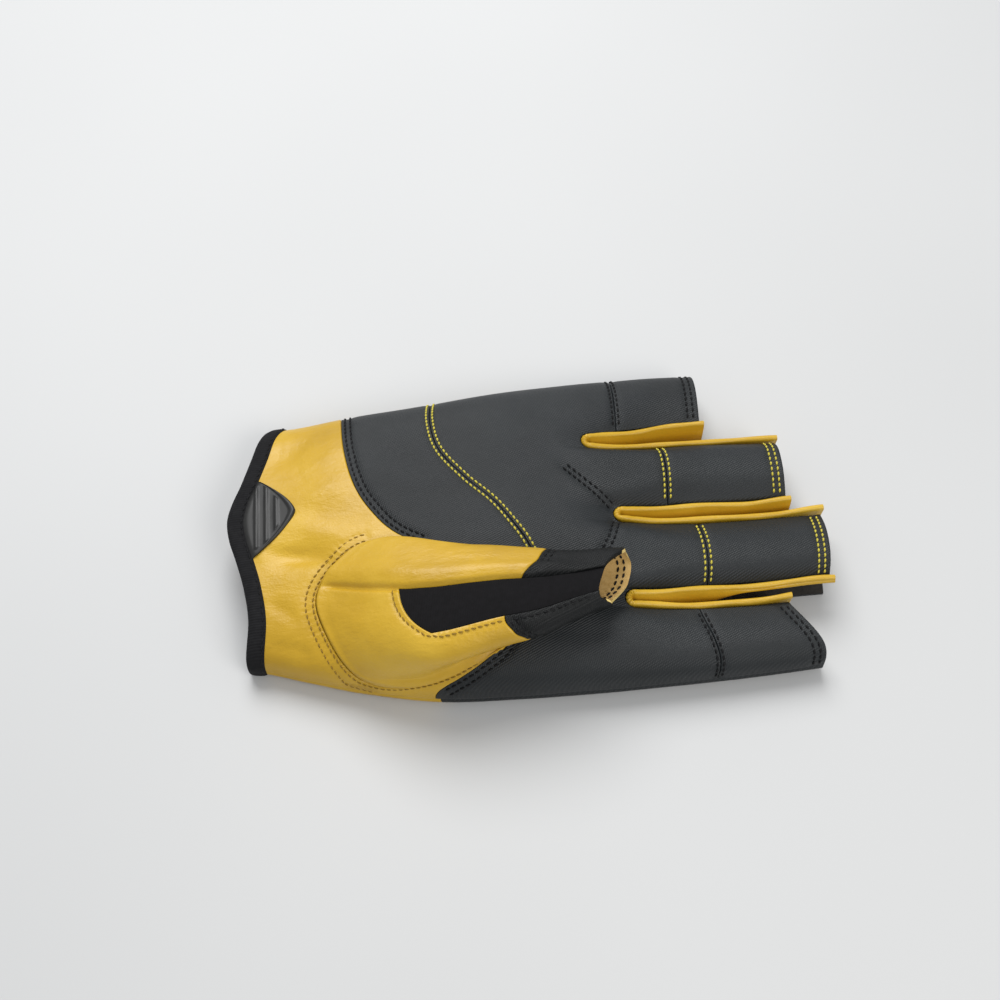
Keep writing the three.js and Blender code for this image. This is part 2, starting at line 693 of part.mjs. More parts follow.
// The back: one panel over the back of the hand and one that runs out into the fingers
const backColumns = columnsOf(BACK_LOBE_CELLS);
const backGrid = makeGrid(
  BACK,
  backColumns,
  [
    (column) => curveX(BACK_CUFF_EDGE, BACK, column, BINDING_WIDTH),
    (column) => curveX(BACK_SEAM, BACK, column),
    (column) => knuckleX(BACK, column),
    (column) => fingerEnd(fingerOf(column), column.s),
  ],
  [5, 3, 5],
);
const [, backSeamRow, backPartRow] = backGrid.starts;
const backInner = offset(backGrid, -BACK_LEATHER);
addPiece(
  "back_panel",
  solidFromCells(backGrid.points, backInner, (r) => r < backSeamRow),
  yellowLeather,
);
addPiece(
  "back_finger_panel",
  solidFromCells(backGrid.points, backInner, (r, c) => {
    return r >= backSeamRow && (r < backPartRow || onFinger(backColumns, c));
  }),
  blackLeather,
);

// The binding round the cuff: a closed strip over the edges of the palm side and the back
function makeBinding() {
  const rows = [0, BINDING_WIDTH].map((shift) => {
    const edge = (side, curve, columns) =>
      columns.map((column) => handPoint(side, column, curveX(curve, side, column, shift)));
    const over = edge(FRONT, CUFF_EDGE, frontColumns);
    const under = edge(BACK, BACK_CUFF_EDGE, backColumns);
    return [...over, ...under.slice(1, -1).toReversed()];
  });
  const count = rows[0].length;
  const normals = rows.map((row) =>
    row.map((p, c) => {
      const across = row[(c + 1) % count].clone().sub(row[(c + count - 1) % count]);
      return new THREE.Vector3(1, 0, 0).cross(across).normalize();
    }),
  );
  const moved = (distance) =>
    rows.map((row, r) => row.map((p, c) => p.clone().addScaledVector(normals[r][c], distance)));
  return solidFromCells(moved(0), moved(-SOFT_LEATHER - BINDING_PROUD), () => true, true);
}
addPiece("cuff_binding", makeBinding(), blackBinding);

// The plain patch on the wrist panel, against the binding
function makePatch() {
  const [rows, count] = [5, 12];
  const middleY = PATCH_Y * PALM_WIDTH;
  const under = [];
  for (let r = 0; r <= rows; r += 1) {
    const row = [];
    for (let i = 0; i <= count; i += 1) {
      const s = (2 * i) / count - 1;
      const y = middleY + (s * PATCH_LENGTH) / 2;
      const nearCuff = -GLOVE_LENGTH / 2 + BINDING_WIDTH;
      const { middle, half } = handAt(nearCuff);
      const start = read(CUFF_EDGE, "x", (y - middle) / half, "y") * GLOVE_LENGTH + BINDING_WIDTH;
      const tip = nearCuff + PATCH_DEPTH * (1 - Math.pow(Math.abs(s), PATCH_POWER));
      const x = lerp(start + SEAM_GAP, Math.max(tip, start + PATCH_LEAST), r / rows);
      row.push(new THREE.Vector3(x, y, palmHeight(x, y) + SEAM_GAP));
    }
    under.push(row);
  }
  const lifted = (height) =>
    under.map((row) => row.map((p) => p.clone().add(new THREE.Vector3(0, 0, height))));
  return solidFromCells(lifted(PATCH_THICKNESS), lifted(0), () => true);
}
addPiece("wrist_patch", makePatch(), darkRubber);

// A fourchette: a strip from one finger's end down to the crotch and out along the next finger,
// with a rolled edge on top
function makeFourchette(gap, g) {
  const c = crotch(gap);
  const reach = (x) => gapHalf(gap, x) - SEAM_GAP - BEAD_RADIUS;
  const edgeTop = (x, sign) => {
    const column = sign > 0 ? { finger: g + 1, s: 0 } : { finger: g, s: 1 };
    return handPoint(FRONT, column, x).z + BEAD_PROUD;
  };
  const ends = [
    fingerEnd(FINGERS[g + 1], 0) + FOURCHETTE_OVERHANG,
    fingerEnd(FINGERS[g], 1) + FOURCHETTE_OVERHANG,
  ];
  const path = [];
  const steps = 9;
  const bend = 6;
  for (let i = 0; i < steps; i += 1) {
    const x = lerp(ends[0], c.x, i / steps);
    path.push({ x, y: gapY(gap, x) + reach(x), top: edgeTop(x, 1) });
  }
  for (let i = 0; i <= bend; i += 1) {
    const a = Math.PI * (0.5 + i / bend);
    const r = reach(c.x);
    const top = lerp(edgeTop(c.x, 1), edgeTop(c.x, -1), i / bend);
    path.push({ x: c.x + r * Math.cos(a), y: c.y + r * Math.sin(a), top });
  }
  for (let i = 1; i <= steps; i += 1) {
    const x = lerp(c.x, ends[1], i / steps);
    path.push({ x, y: gapY(gap, x) - reach(x), top: edgeTop(x, -1) });
  }
  const half = SOFT_LEATHER / 2;
  const neck = Math.asin(half / BEAD_RADIUS);
  const arcSteps = 8;
  const positions = [];
  path.forEach((p, i) => {
    const [before, after] = [path[Math.max(i - 1, 0)], path[Math.min(i + 1, path.length - 1)]];
    const way = new THREE.Vector2(after.x - before.x, after.y - before.y).normalize();
    const put = (aside, z) => positions.push(p.x + way.y * aside, p.y - way.x * aside, z);
    const beadZ = p.top - BEAD_RADIUS;
    put(half, FOURCHETTE_LIFT);
    for (let k = 0; k <= arcSteps; k += 1) {
      const a = lerp(neck, 2 * Math.PI - neck, k / arcSteps);
      put(BEAD_RADIUS * Math.sin(a), beadZ - BEAD_RADIUS * Math.cos(a));
    }
    put(-half, FOURCHETTE_LIFT);
  });
  const ring = arcSteps + 3;
  const triangles = [];
  for (let i = 0; i < path.length - 1; i += 1) {
    for (let k = 0; k < ring; k += 1) {
      const [a, b] = [i * ring + k, i * ring + ((k + 1) % ring)];
      triangles.push(a, b, b + ring, a, b + ring, a + ring);
    }
  }
  const section = [];
  const frame = (k) => new THREE.Vector2(positions[k * 3 + 1], positions[k * 3 + 2]);
  for (let k = 0; k < ring; k += 1) section.push(frame(k));
  const last = (path.length - 1) * ring;
  THREE.ShapeUtils.triangulateShape(section, []).forEach(([a, b, c2]) => {
    triangles.push(c2, b, a, last + a, last + b, last + c2);
  });
  return facingOut(positions, triangles);
}
GAPS.forEach((gap, g) => {
  const name = `fourchette_${FINGERS[g].name}_${FINGERS[g + 1].name}`;
  addPiece(name, makeFourchette(gap, g), yellowLeather);
});

// The thumb's cross section at x, in the plane across the glove
function thumbSection(x, angle) {
  const share = (x - THUMB_START) / THUMB_LENGTH;
  const near = read(THUMB, "near", share) * PALM_WIDTH;
  const far = read(THUMB, "far", share) * PALM_WIDTH;
  const bottom = read(THUMB, "bottom", share) * THUMB_HEIGHT;
  const top = read(THUMB, "top", share) * THUMB_HEIGHT;
  const round = (value) => Math.sign(value) * Math.pow(Math.abs(value), 2 / THUMB_FULLNESS);
  const a = degToRad(angle);
  return {
    y: (near + far) / 2 + ((far - near) / 2) * round(Math.cos(a)),
    z: (bottom + top) / 2 + ((top - bottom) / 2) * round(Math.sin(a)),
  };
}

// A point of the thumb's outer surface. It starts on its root seam, follows the tube, and rests
// on the palm where it is folded over it.
function thumbPoint(angle, x) {
  const root = thumbRoot(angle).point;
  const here = thumbSection(x, angle);
  const atRoot = thumbSection(root.x, angle);
  const share = clamp((x - root.x) / (THUMB_BLEND * THUMB_LENGTH), 0, 1);
  const fade = 1 - smoothstep(share);
  const y = here.y + (root.y - atRoot.y) * fade;
  const z = here.z + (root.z - atRoot.z) * fade;
  if (share === 0) return root;
  const rest = Math.max(palmHeight(x, y, THUMB_REST_GAP), SIDE_SEAM_HEIGHT + THUMB_REST_GAP);
  // Over the palm the tube's underside eases into the height that it rests at.
  const ease = THUMB_REST_GAP * Math.min(1, 6 * share);
  const over = z - rest;
  return new THREE.Vector3(x, y, rest + (over + Math.hypot(over, ease)) / 2);
}

// The thumb's grid: block by block from the root seam to the open end
function makeThumbGrid() {
  const cells = [6, 5, 5];
  const points = [];
  cells.forEach((count, block) => {
    for (let i = block === 0 ? 0 : 1; i <= count; i += 1) {
      const row = [];
      for (let c = 0; c < THUMB_CELLS; c += 1) {
        const angle = thumbAngle(c);
        const root = THUMB_START + readRound("rootX", angle) * GLOVE_LENGTH;
        const s = clamp(c / INSERT_CELLS, 0, 1);
        const shares = [
          lerp(INSERT_START_FAR, INSERT_START_NEAR, s * s),
          readRound("tip", angle),
          readRound("end", angle),
        ];
        const [insert, tip, end] = shares.map((share) => THUMB_START + share * THUMB_LENGTH);
        const start = c <= INSERT_CELLS ? insert : lerp(root, tip, 0.45);
        const stops = [root, start, tip, end];
        row.push(thumbPoint(angle, lerp(stops[block], stops[block + 1], i / count)));
      }
      points.push(row);
    }
  });
  const count = THUMB_CELLS;
  const normals = points.map((row, r) =>
    row.map((p, c) => {
      const along = points[Math.min(r + 1, points.length - 1)][c]
        .clone()
        .sub(points[Math.max(r - 1, 0)][c]);
      const across = row[(c + 1) % count].clone().sub(row[(c + count - 1) % count]);
      return across.cross(along).normalize();
    }),
  );
  return { points, normals, starts: [0, cells[0], cells[0] + cells[1]] };
}

const thumbGrid = makeThumbGrid();
const [, insertRow, tipRow] = thumbGrid.starts;
const isInsert = (r, c) => r >= insertRow && c < INSERT_CELLS;
const isTip = (r, c) => r >= tipRow && c >= INSERT_CELLS;
const thumbInner = offset(thumbGrid, -SOFT_LEATHER);
addPiece(
  "thumb_panel",
  solidFromCells(thumbGrid.points, thumbInner, (r, c) => !isInsert(r, c) && !isTip(r, c), true),
  yellowLeather,
);
addPiece("thumb_tip", solidFromCells(thumbGrid.points, thumbInner, isTip, true), blackLeather);
addPiece(
  "thumb_insert",
  solidFromCells(
    offset(thumbGrid, -INSERT_SINK),
    offset(thumbGrid, -INSERT_SINK - STRETCH_FABRIC),
    isInsert,
    true,
  ),
  blackStretch,
);

// The glove stands centred on the origin, on the plane z = 0.
const bounds = new THREE.Box3().setFromObject(glove);
const centre = bounds.getCenter(new THREE.Vector3());
glove.traverse((piece) => {
  if (piece.isMesh) piece.geometry.translate(-centre.x, -centre.y, -bounds.min.z);
});

export default glove;
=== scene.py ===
# A right-hand short-finger sailing glove in yellow and black leather, lying palm up with its thumb
# folded across the palm. Lengths are in millimetres, and become metres when a mesh is made.
# +X runs from the cuff to the finger ends, +Y to the little finger's side and +Z up.
import math
from collections import namedtuple

import bpy
import numpy as np
from mathutils import Matrix, Vector, kdtree
from mathutils.bvhtree import BVHTree


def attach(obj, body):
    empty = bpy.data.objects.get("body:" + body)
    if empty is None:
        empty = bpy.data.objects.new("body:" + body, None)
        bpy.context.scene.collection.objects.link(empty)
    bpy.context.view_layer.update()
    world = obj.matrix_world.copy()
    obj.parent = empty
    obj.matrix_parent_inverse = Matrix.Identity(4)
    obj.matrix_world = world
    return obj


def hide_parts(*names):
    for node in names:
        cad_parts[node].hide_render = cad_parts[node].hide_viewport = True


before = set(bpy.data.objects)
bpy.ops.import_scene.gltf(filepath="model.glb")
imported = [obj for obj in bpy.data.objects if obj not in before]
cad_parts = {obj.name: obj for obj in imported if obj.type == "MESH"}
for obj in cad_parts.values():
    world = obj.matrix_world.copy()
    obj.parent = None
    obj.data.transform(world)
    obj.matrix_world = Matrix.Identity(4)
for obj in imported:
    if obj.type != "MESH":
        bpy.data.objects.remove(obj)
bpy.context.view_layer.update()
MM = 0.001
CENTRING = np.array([-0.199, -1.022, 0.003])  # from the tables' origin to the middle of the solids

# The glove's own sizes, as its solids have them
GLOVE_LENGTH = 175.0
PALM_WIDTH = 102.0
PALM_HEIGHT = 24.0
SIDE_SEAM_HEIGHT = 5.0
FINGER_LENGTHS = (54.5, 61.4, 52.4, 31.4)
FINGER_NAMES = ("index", "middle", "ring", "little")
FINGER_ROUNDING = 4.6
PALM_LEATHER = 1.4
SOFT_LEATHER = 1.3
STRETCH_FABRIC = 1.2
BINDING_WIDTH = 5.5
BEAD_RADIUS = 0.85
BEAD_PROUD = 1.1
CROTCH_SPREAD = 0.55
FOURCHETTE_OVERHANG = 0.8
FOURCHETTE_LIFT = 0.5
PATCH_LENGTH = 30.0
PATCH_DEPTH = 15.0
PATCH_THICKNESS = 1.1
PATCH_Y = 0.08
PATCH_POWER = 1.5
SEAM_GAP = 0.35
THUMB_REST_GAP = 1.2
THUMB_LENGTH = 88.2
THUMB_HEIGHT = 35.0
THUMB_BLEND = 0.3
INSERT_FAR_ANGLE = 85.0
INSERT_NEAR_ANGLE = 125.0
INSERT_START_FAR = 0.262
INSERT_START_NEAR = 0.355
FRONT_FULLNESS = 2.8
BACK_FLATNESS = 5.0
THUMB_FULLNESS = 2.3
REST_FLATTENING = 0.02
SEAM_BOW = 0.003
DIP_BEFORE = 0.09
DIP_AFTER = 0.08
THUMB_START = -GLOVE_LENGTH * 0.35
KNUCKLE_X = GLOVE_LENGTH / 2 - FINGER_LENGTHS[1] - FOURCHETTE_OVERHANG
SLOT_RADIUS = 2 * BEAD_RADIUS + CROTCH_SPREAD + SEAM_GAP

# The render's own sizes: a seam is a groove here, in place of the solids' wider gap
GROOVE = 0.06
EDGE_ROUND = 0.3
PANEL_UNDER_TAPE = 1.5
CLOSE_ROWS = (0, 0.15, 0.4, 0.8)
FRONT_CELLS = ((40, 28, 28, 40), 12)
BACK_CELLS = ((24, 18, 18, 24), 8)
HEEL_FIRST_COLUMN = 32
INSERT_COLUMNS = 36
NEAR_COLUMNS = 20
FOLD_COLUMNS = 76
UNDER_COLUMNS = 36
ROLL_COLUMNS = 22
FOLD_ANGLES = (192.0, 300.0)
ROLL_ANGLE = 26.0
ROOT_TUCK = 1.1
FINE_PITCH = 1.6
DARK_PITCH = 1.9
BROWN_PITCH = 1.75
SLANT = 0.16


def table(columns, *rows):
    """A table of rows under named columns, as an array for each column."""
    return dict(zip(columns.split(), np.array(rows, float).T))


HAND = table(
    "x near far top",
    (-0.513, -0.335, 0.41, 0.6),
    (-0.45, -0.35, 0.414, 0.667),
    (-0.375, -0.39, 0.424, 0.77),
    (-0.29, -0.434, 0.438, 0.895),
    (-0.164, -0.478, 0.456, 0.98),
    (-0.032, -0.489, 0.481, 1),
    (0.094, -0.491, 0.5, 0.92),
    (0.168, -0.489, 0.506, 0.855),
    (0.253, -0.486, 0.511, 0.8),
    (0.339, -0.481, 0.509, 0.75),
    (0.424, -0.473, 0.505, 0.72),
    (0.505, -0.463, 0.5, 0.69),
)
# Each dent's x and y, its reach both ways, and its depth
DENTS = (
    (-0.406, 0.27, 0.045, 0.06, 0.04),
    (-0.38, -0.07, 0.06, 0.035, 0.05),
    (-0.34, 0.13, 0.05, 0.05, -0.03),
    (0.016, 0.12, 0.12, 0.13, 0.05),
    (0.138, 0.02, 0.05, 0.05, 0.03),
    (-0.045, -0.29, 0.15, 0.14, 0.11),
)
GAPS = table(
    "root middle end setback spread",
    (-0.269, -0.268, -0.255, 0.001, 0.007),
    (-0.007, -0.006, 0, 0.001, 0.006),
    (0.235, 0.268, 0.251, 0.04, 0.017),
)
FINGERS = table(
    "seam near middle far",
    (0.41, 0.003, -0.001, -0.043),
    (0.372, -0.006, -0.002, 0.001),
    (0.281, 0, 0, 0),
    (0.07, -0.002, 0.001, 0),
)
# Curves across the hand, with y as a share of the half width
CUFF_EDGE = table(
    "y x",
    *((-1, -0.473), (-0.71, -0.465), (-0.45, -0.472), (-0.22, -0.485), (-0.05, -0.496)),
    *((0.11, -0.5), (0.25, -0.493), (0.43, -0.477), (0.67, -0.46), (0.87, -0.447), (1, -0.43)),
)
PALM_EDGE = table(
    "y x",
    *((-1, -0.173), (-0.94, -0.128), (-0.87, -0.091), (-0.78, -0.058), (-0.62, -0.05)),
    *((-0.42, -0.08), (-0.25, -0.136), (-0.07, -0.218), (0.1, -0.257), (0.3, -0.283)),
    *((0.6, -0.299), (1, -0.305)),
)
PALM_SEAM = table(
    "y x",
    *((-1, -0.035), (-0.6, -0.012), (-0.4, 0.01), (-0.2, -0.006), (-0.05, -0.029)),
    *((0.1, -0.056), (0.27, -0.097), (0.5, -0.138), (0.75, -0.15), (1, -0.145)),
)
BACK_CUFF_EDGE = table(
    "y x", (-1, -0.473), (-0.5, -0.474), (0, -0.467), (0.5, -0.455), (1, -0.43)
)
BACK_SEAM = table("y x", (-1, -0.165), (-0.6, -0.024), (0, 0.042), (0.6, 0.047), (1, 0.032))
THUMB = table(
    "x near far bottom top",
    (-0.05, -0.36, -0.15, 0.17, 0.5),
    (0.115, -0.445, -0.105, 0.15, 0.7),
    (0.25, -0.46, -0.088, 0.26, 0.85),
    (0.4, -0.458, -0.11, 0.5, 0.94),
    (0.56, -0.43, -0.134, 0.59, 0.985),
    (0.685, -0.411, -0.157, 0.63, 1),
    (0.8, -0.373, -0.174, 0.63, 0.985),
    (0.915, -0.34, -0.173, 0.62, 0.96),
    (1.02, -0.32, -0.174, 0.6, 0.94),
)
# Round the thumb, with angle 0 at its far side, 90 on top, 180 near and 270 beneath
THUMB_ROUND = table(
    "angle rootX round lift end tip",
    (0, 0.138, 0.473, 0.7, 0.985, 0.74),
    (45, 0.055, 0.469, 0, 0.968, 0.712),
    (90, 0, 0.383, 0, 0.9, 0.63),
    (135, 0.01, 0.267, 0, 0.88, 0.575),
    (180, 0.067, 0.06, 0, 0.92, 0.64),
    (225, 0.143, 0.07, 0.6, 0.925, 0.68),
    (270, 0.274, 0.253, 1, 0.985, 0.71),
    (315, 0.223, 0.39, 1, 1, 0.75),
)
# Soft folds of the leather: the line's x and y, the width, and the depth, negative for a ridge
WRIST_FOLDS = (
    ((-76, -70, -63, -56), (-3, -5.5, -7.5, -10), 2.4, 0.9),
    ((-73, -66, -58, -50), (5, 3, -1, -4), 3.2, -0.6),
    ((-78, -70, -62), (30, 29, 33), 3.5, 0.5),
    ((-66, -58, -52), (22, 24, 30), 4.0, -0.4),
    ((-78, -72, -66), (-20, -22, -27), 2.2, 0.45),
    ((-78, -70, -64), (-31, -33, -36), 1.8, 0.4),
    ((-60, -52, -45), (36, 38, 38), 3.0, 0.4),
)
PALM_FOLDS = (
    ((6, 14, 22), (22, 16, 10), 3.0, 0.35),
    ((-4, 8, 20), (33, 34, 32), 4.0, 0.3),
    ((0, 12, 22), (-36, -38, -38), 3.0, 0.35),
    ((28, 36, 44), (14, 15, 14), 3.0, 0.25),
    ((28, 38, 48), (-14, -14, -15), 3.0, 0.25),
    ((24, 36, 50), (-38, -40, -40), 3.5, 0.3),
)


def smoothstep(t):
    s = np.clip(t, 0, 1)
    return s * s * (3 - 2 * s)


def bell(t):
    return np.exp(-(t**2))


def lerp(a, b, t):
    return a + (b - a) * t


def unit(ways):
    return ways / np.maximum(np.linalg.norm(ways, axis=-1, keepdims=True), 1e-9)


def signed_power(value, power):
    return np.sign(value) * np.power(np.abs(value), power)


def read(rows, column, at, key="x"):
    """One column of a table, read on a smooth curve through its rows."""
    xs, ys = rows[key], rows[column]
    last = len(xs) - 1
    at = np.clip(np.asarray(at, float), xs[0], xs[last])
    i = np.clip(np.searchsorted(xs, at, side="right") - 1, 0, last - 1)
    before, after = np.maximum(i - 1, 0), np.minimum(i + 2, last)
    width = xs[i + 1] - xs[i]
    t = (at - xs[i]) / width
    m0 = width * (ys[i + 1] - ys[before]) / (xs[i + 1] - xs[before])
    m1 = width * (ys[after] - ys[i]) / (xs[after] - xs[i])
    t2, t3 = t * t, t * t * t
    ends = (2 * t3 - 3 * t2 + 1) * ys[i] + (3 * t2 - 2 * t3) * ys[i + 1]
    return ends + (t3 - 2 * t2 + t) * m0 + (t3 - t2) * m1


def read_round(column, angle):
    """The same for the table that goes once round the thumb."""
    turns = (-360, 0, 360)
    rows = {
        "angle": np.concatenate([THUMB_ROUND["angle"] + turn for turn in turns]),
        column: np.tile(THUMB_ROUND[column], len(turns)),
    }
    return read(rows, column, np.mod(angle, 360), "angle")


def read_three(rows, columns, number, t):
    """A smooth curve through three columns of one row, with t from 0 to 1."""
    values = np.array([rows[column][number] for column in columns.split()])
    return read({"t": np.array([0, 0.5, 1.0]), "value": values}, "value", t, "t")


# The hand's form


def hand_at(x):
    """Middle, half width and height of the hand's section."""
    share = x / GLOVE_LENGTH
    near = read(HAND, "near", share) * PALM_WIDTH
    far = read(HAND, "far", share) * PALM_WIDTH
    return (near + far) / 2, (far - near) / 2, read(HAND, "top", share) * PALM_HEIGHT


def dent_at(x, y):
    total = 0
    for dent_x, dent_y, reach_x, reach_y, depth in DENTS:
        dx = (x - dent_x * GLOVE_LENGTH) / (reach_x * GLOVE_LENGTH)
        dy = (y - dent_y * PALM_WIDTH) / (reach_y * PALM_WIDTH)
        total = total + depth * PALM_HEIGHT * np.exp(-dx * dx - dy * dy)
    return total


def rise_at(across, power):
    return np.power(np.clip(1 - np.power(np.abs(across), power), 0, 1), 1 / power)


def palm_height(x, y, proud=0.0):
    """Height of a surface that stands proud of the palm side, without the dips between fingers."""
    middle, half, top = hand_at(x)
    across = np.clip(np.abs(y - middle) / (half + proud), 0, 1)
    height = top + proud - dent_at(x, y) - SIDE_SEAM_HEIGHT
    return SIDE_SEAM_HEIGHT + height * rise_at(across, FRONT_FULLNESS)


def crotch(gap):
    x = KNUCKLE_X - GAPS["setback"][gap] * GLOVE_LENGTH + SLOT_RADIUS
    return x, GAPS["root"][gap] * PALM_WIDTH


def gap_share(gap, x):
    start = crotch(gap)[0]
    return np.clip((x - start) / (GLOVE_LENGTH / 2 - start), 0, 1)


def gap_y(gap, x):
    return read_three(GAPS, "root middle end", gap, gap_share(gap, x)) * PALM_WIDTH


def gap_half(gap, x):
    t = gap_share(gap, x)
    return SLOT_RADIUS + GAPS["spread"][gap] * PALM_WIDTH * 4 * t * (1 - t)


def dip_at(x):
    start, end = KNUCKLE_X - GLOVE_LENGTH * DIP_BEFORE, KNUCKLE_X + GLOVE_LENGTH * DIP_AFTER
    return FINGER_ROUNDING * smoothstep((x - start) / (end - start))


def dip_power(x):
    return lerp(6, 2.6, smoothstep((x - KNUCKLE_X) / (GLOVE_LENGTH * 0.12)))


def dip_share(finger, s, power):
    """How much of the dip a finger has across it. The outer fingers dip on one side alone."""
    flat = 0.4
    if finger in (1, 2):
        return np.power(np.abs(2 * s - 1), power)
    inwards = s if finger == 0 else 1 - s
    return np.power(np.clip((inwards - flat) / (1 - flat), 0, 1), power)


def across_of(angle, power):
    """From an even angle round the section to a share of the half width, and back."""
    return signed_power(-np.cos(np.pi * angle), 2 / power)


def angle_of(across, power):
    return np.arccos(-signed_power(np.clip(across, -1, 1), power / 2)) / np.pi


# A stretch of columns across one finger, with s from 0 to 1, or one gap, from -1 to 1
Column = namedtuple("Column", "kind index s")


class Side:
    """One side of the hand: how full its section is, how wide its slots are, and its columns."""

    def __init__(self, power, narrower, outward, finger_cells, gap_cells):
        self.power = power
        self.narrower = narrower
        self.outward = outward
        self.radius = SLOT_RADIUS - narrower
        self.columns = []
        for finger, cells in enumerate(finger_cells):
            t = np.linspace(0, 1, cells + 1)
            crowded = lerp(t, 0.5 - 0.5 * np.cos(np.pi * t), 0.7)
            self.columns.append(Column("finger", finger, crowded))
            if finger < 3:
                t = np.linspace(0, 1, gap_cells + 1)[1:-1]
                self.columns.append(Column("gap", finger, np.sin(np.pi * (t - 0.5))))

    def half(self, gap, x):
        return gap_half(gap, x) - self.narrower


FRONT = Side(FRONT_FULLNESS, 0, 1, *FRONT_CELLS)
BACK = Side(BACK_FLATNESS, BEAD_RADIUS - SOFT_LEATHER / 2, -1, *BACK_CELLS)


def finger_edges(side, finger, x):
    """The angles round the section at which a finger's two edges stand."""
    middle, half, _ = hand_at(x)

    def edge(gap, sign):
        y = gap_y(gap, x) + sign * side.half(gap, x)
        return angle_of((y - middle) / half, side.power)

    near = 0.0 if finger == 0 else edge(finger - 1, 1)
    return near, 1.0 if finger == 3 else edge(finger, -1)


def across_at(side, column, x):
    """Where a stretch of columns stands across the hand, as a share of its half width."""
    if column.kind == "gap":
        middle, half, _ = hand_at(x)
        return (gap_y(column.index, x) + column.s * side.half(column.index, x) - middle) / half
    return across_of(lerp(*finger_edges(side, column.index, x), column.s), side.power)


def hand_points(side, column, x):
    """Points of the hand's outer surface."""
    middle, half, top = hand_at(x)
    across = across_at(side, column, x)
    rise = rise_at(across, side.power)
    y = middle + half * across
    if side is BACK:
        curl = np.maximum(0, 1 - rise - REST_FLATTENING) / (1 - REST_FLATTENING)
        return np.stack([x, y, SIDE_SEAM_HEIGHT * curl], -1)
    share = 1.0
    if column.kind == "finger":
        share = dip_share(column.index, column.s, dip_power(x))
    height = top - dent_at(x, y) - SIDE_SEAM_HEIGHT
    return np.stack([x, y, SIDE_SEAM_HEIGHT + height * rise - dip_at(x) * share], -1)


def curve_x(curve, side, column, shift=0.0):
    """Where a curve across the hand meets each column."""
    x = np.zeros_like(column.s)
    for _ in range(5):
        x = read(curve, "x", across_at(side, column, x), "y") * GLOVE_LENGTH + shift
    return x


def knuckle_x(side, column):
    if column.kind == "gap":
        return crotch(column.index)[0] - side.radius * np.sqrt(1 - column.s**2)
    near = crotch(max(column.index - 1, 0))[0]
    far = crotch(min(column.index, 2))[0]
    return lerp(near, far, smoothstep(column.s))


def finger_end(finger, s):
    bow = read_three(FINGERS, "near middle far", finger, s) * GLOVE_LENGTH
    return KNUCKLE_X + FINGER_LENGTHS[finger] + bow


def finger_seam(finger, s):
    bow = SEAM_BOW * GLOVE_LENGTH * (1 - (2 * s - 1) ** 2)
    return lerp(KNUCKLE_X + SLOT_RADIUS, finger_end(finger, s), FINGERS["seam"][finger]) + bow


# Grids and meshes


def rows_between(stops, cells):
    """Rows from each stop to the next, close beside the stops, and the row each stop falls on."""
    rows, starts = [], [0]
    edge = CLOSE_ROWS[-1]
    for start, end, count in zip(stops, stops[1:], cells):
        places = [start + d for d in CLOSE_ROWS[:-1]]
        places += [lerp(start + edge, end - edge, i / count) for i in range(count + 1)]
        places += [end - d for d in CLOSE_ROWS[-2::-1]]
        starts.append(starts[-1] + len(places) - 1)
        rows += places[1:] if rows else places
    return np.array(rows), starts


def hand_grid(side, curves, cells, parted=None):
    """A grid over one side of the hand between curves, with its normals, the finger of each column
    and the row each curve falls on. From the curve numbered parted, each finger is alone."""
    parts = []
    for column in side.columns:
        x, starts = rows_between([curve(column) for curve in curves], cells)
        parts.append(hand_points(side, column, x))
    points = np.concatenate(parts, 1)
    kinds = [[c.index if c.kind == "finger" else -1] * len(c.s) for c in side.columns]
    kinds = np.concatenate(kinds)
    along, across = np.gradient(points, axis=0), np.gradient(points, axis=1)
    if parted is not None:
        rows = slice(starts[parted] + 1 if parted else 0, None)
        for c in np.nonzero(kinds[1:] != kinds[:-1])[0]:
            across[rows, c] = points[rows, c] - points[rows, c - 1]
            if c + 2 < points.shape[1]:
                across[rows, c + 1] = points[rows, c + 2] - points[rows, c + 1]
    return points, unit(np.cross(along, across) * side.outward), kinds, starts


def tree_of(points):
    tree = kdtree.KDTree(len(points))
    for i, p in enumerate(points):
        tree.insert(p, i)
    tree.balance()
    return tree


def nearest(tree, points):
    """Distance to the nearest point of a tree and its number, for each point."""
    found = [tree.find(p)[1:] for p in points.reshape(-1, 3)]
    numbers, distance = np.array(found).T.reshape(2, *points.shape[:-1])
    return distance, numbers.astype(int)


def lengths_along(line):
    """Distance along a polyline to each of its points."""
    steps = np.linalg.norm(np.diff(line[:, :3], axis=0), axis=1)
    return np.concatenate([[0], np.cumsum(steps)])


def line_at(line, s, at):
    """Points of a polyline at distances along it."""
    return np.stack([np.interp(at, s, line[:, k]) for k in range(line.shape[1])], -1)


def resample(line, step):
    """A polyline with its points at even steps."""
    s = lengths_along(line)
    count = max(2, int(round(s[-1] / step)) + 1)
    return line_at(line, s, np.linspace(0, s[-1], count))


def new_object(name, vertices, faces, materials, face_materials=None, smooth_angle=50.0):
    mesh = bpy.data.meshes.new(name)
    mesh.from_pydata(((np.asarray(vertices) + CENTRING) * MM).tolist(), [], faces)
    for material in materials:
        mesh.materials.append(material)
    if face_materials is not None:
        mesh.polygons.foreach_set("material_index", face_materials)
    mesh.polygons.foreach_set("use_smooth", [True] * len(mesh.polygons))
    mesh.update()
    mesh.set_sharp_from_angle(angle=math.radians(smooth_angle))
    obj = bpy.data.objects.new(name, mesh)
    bpy.context.scene.collection.objects.link(obj)
    return obj


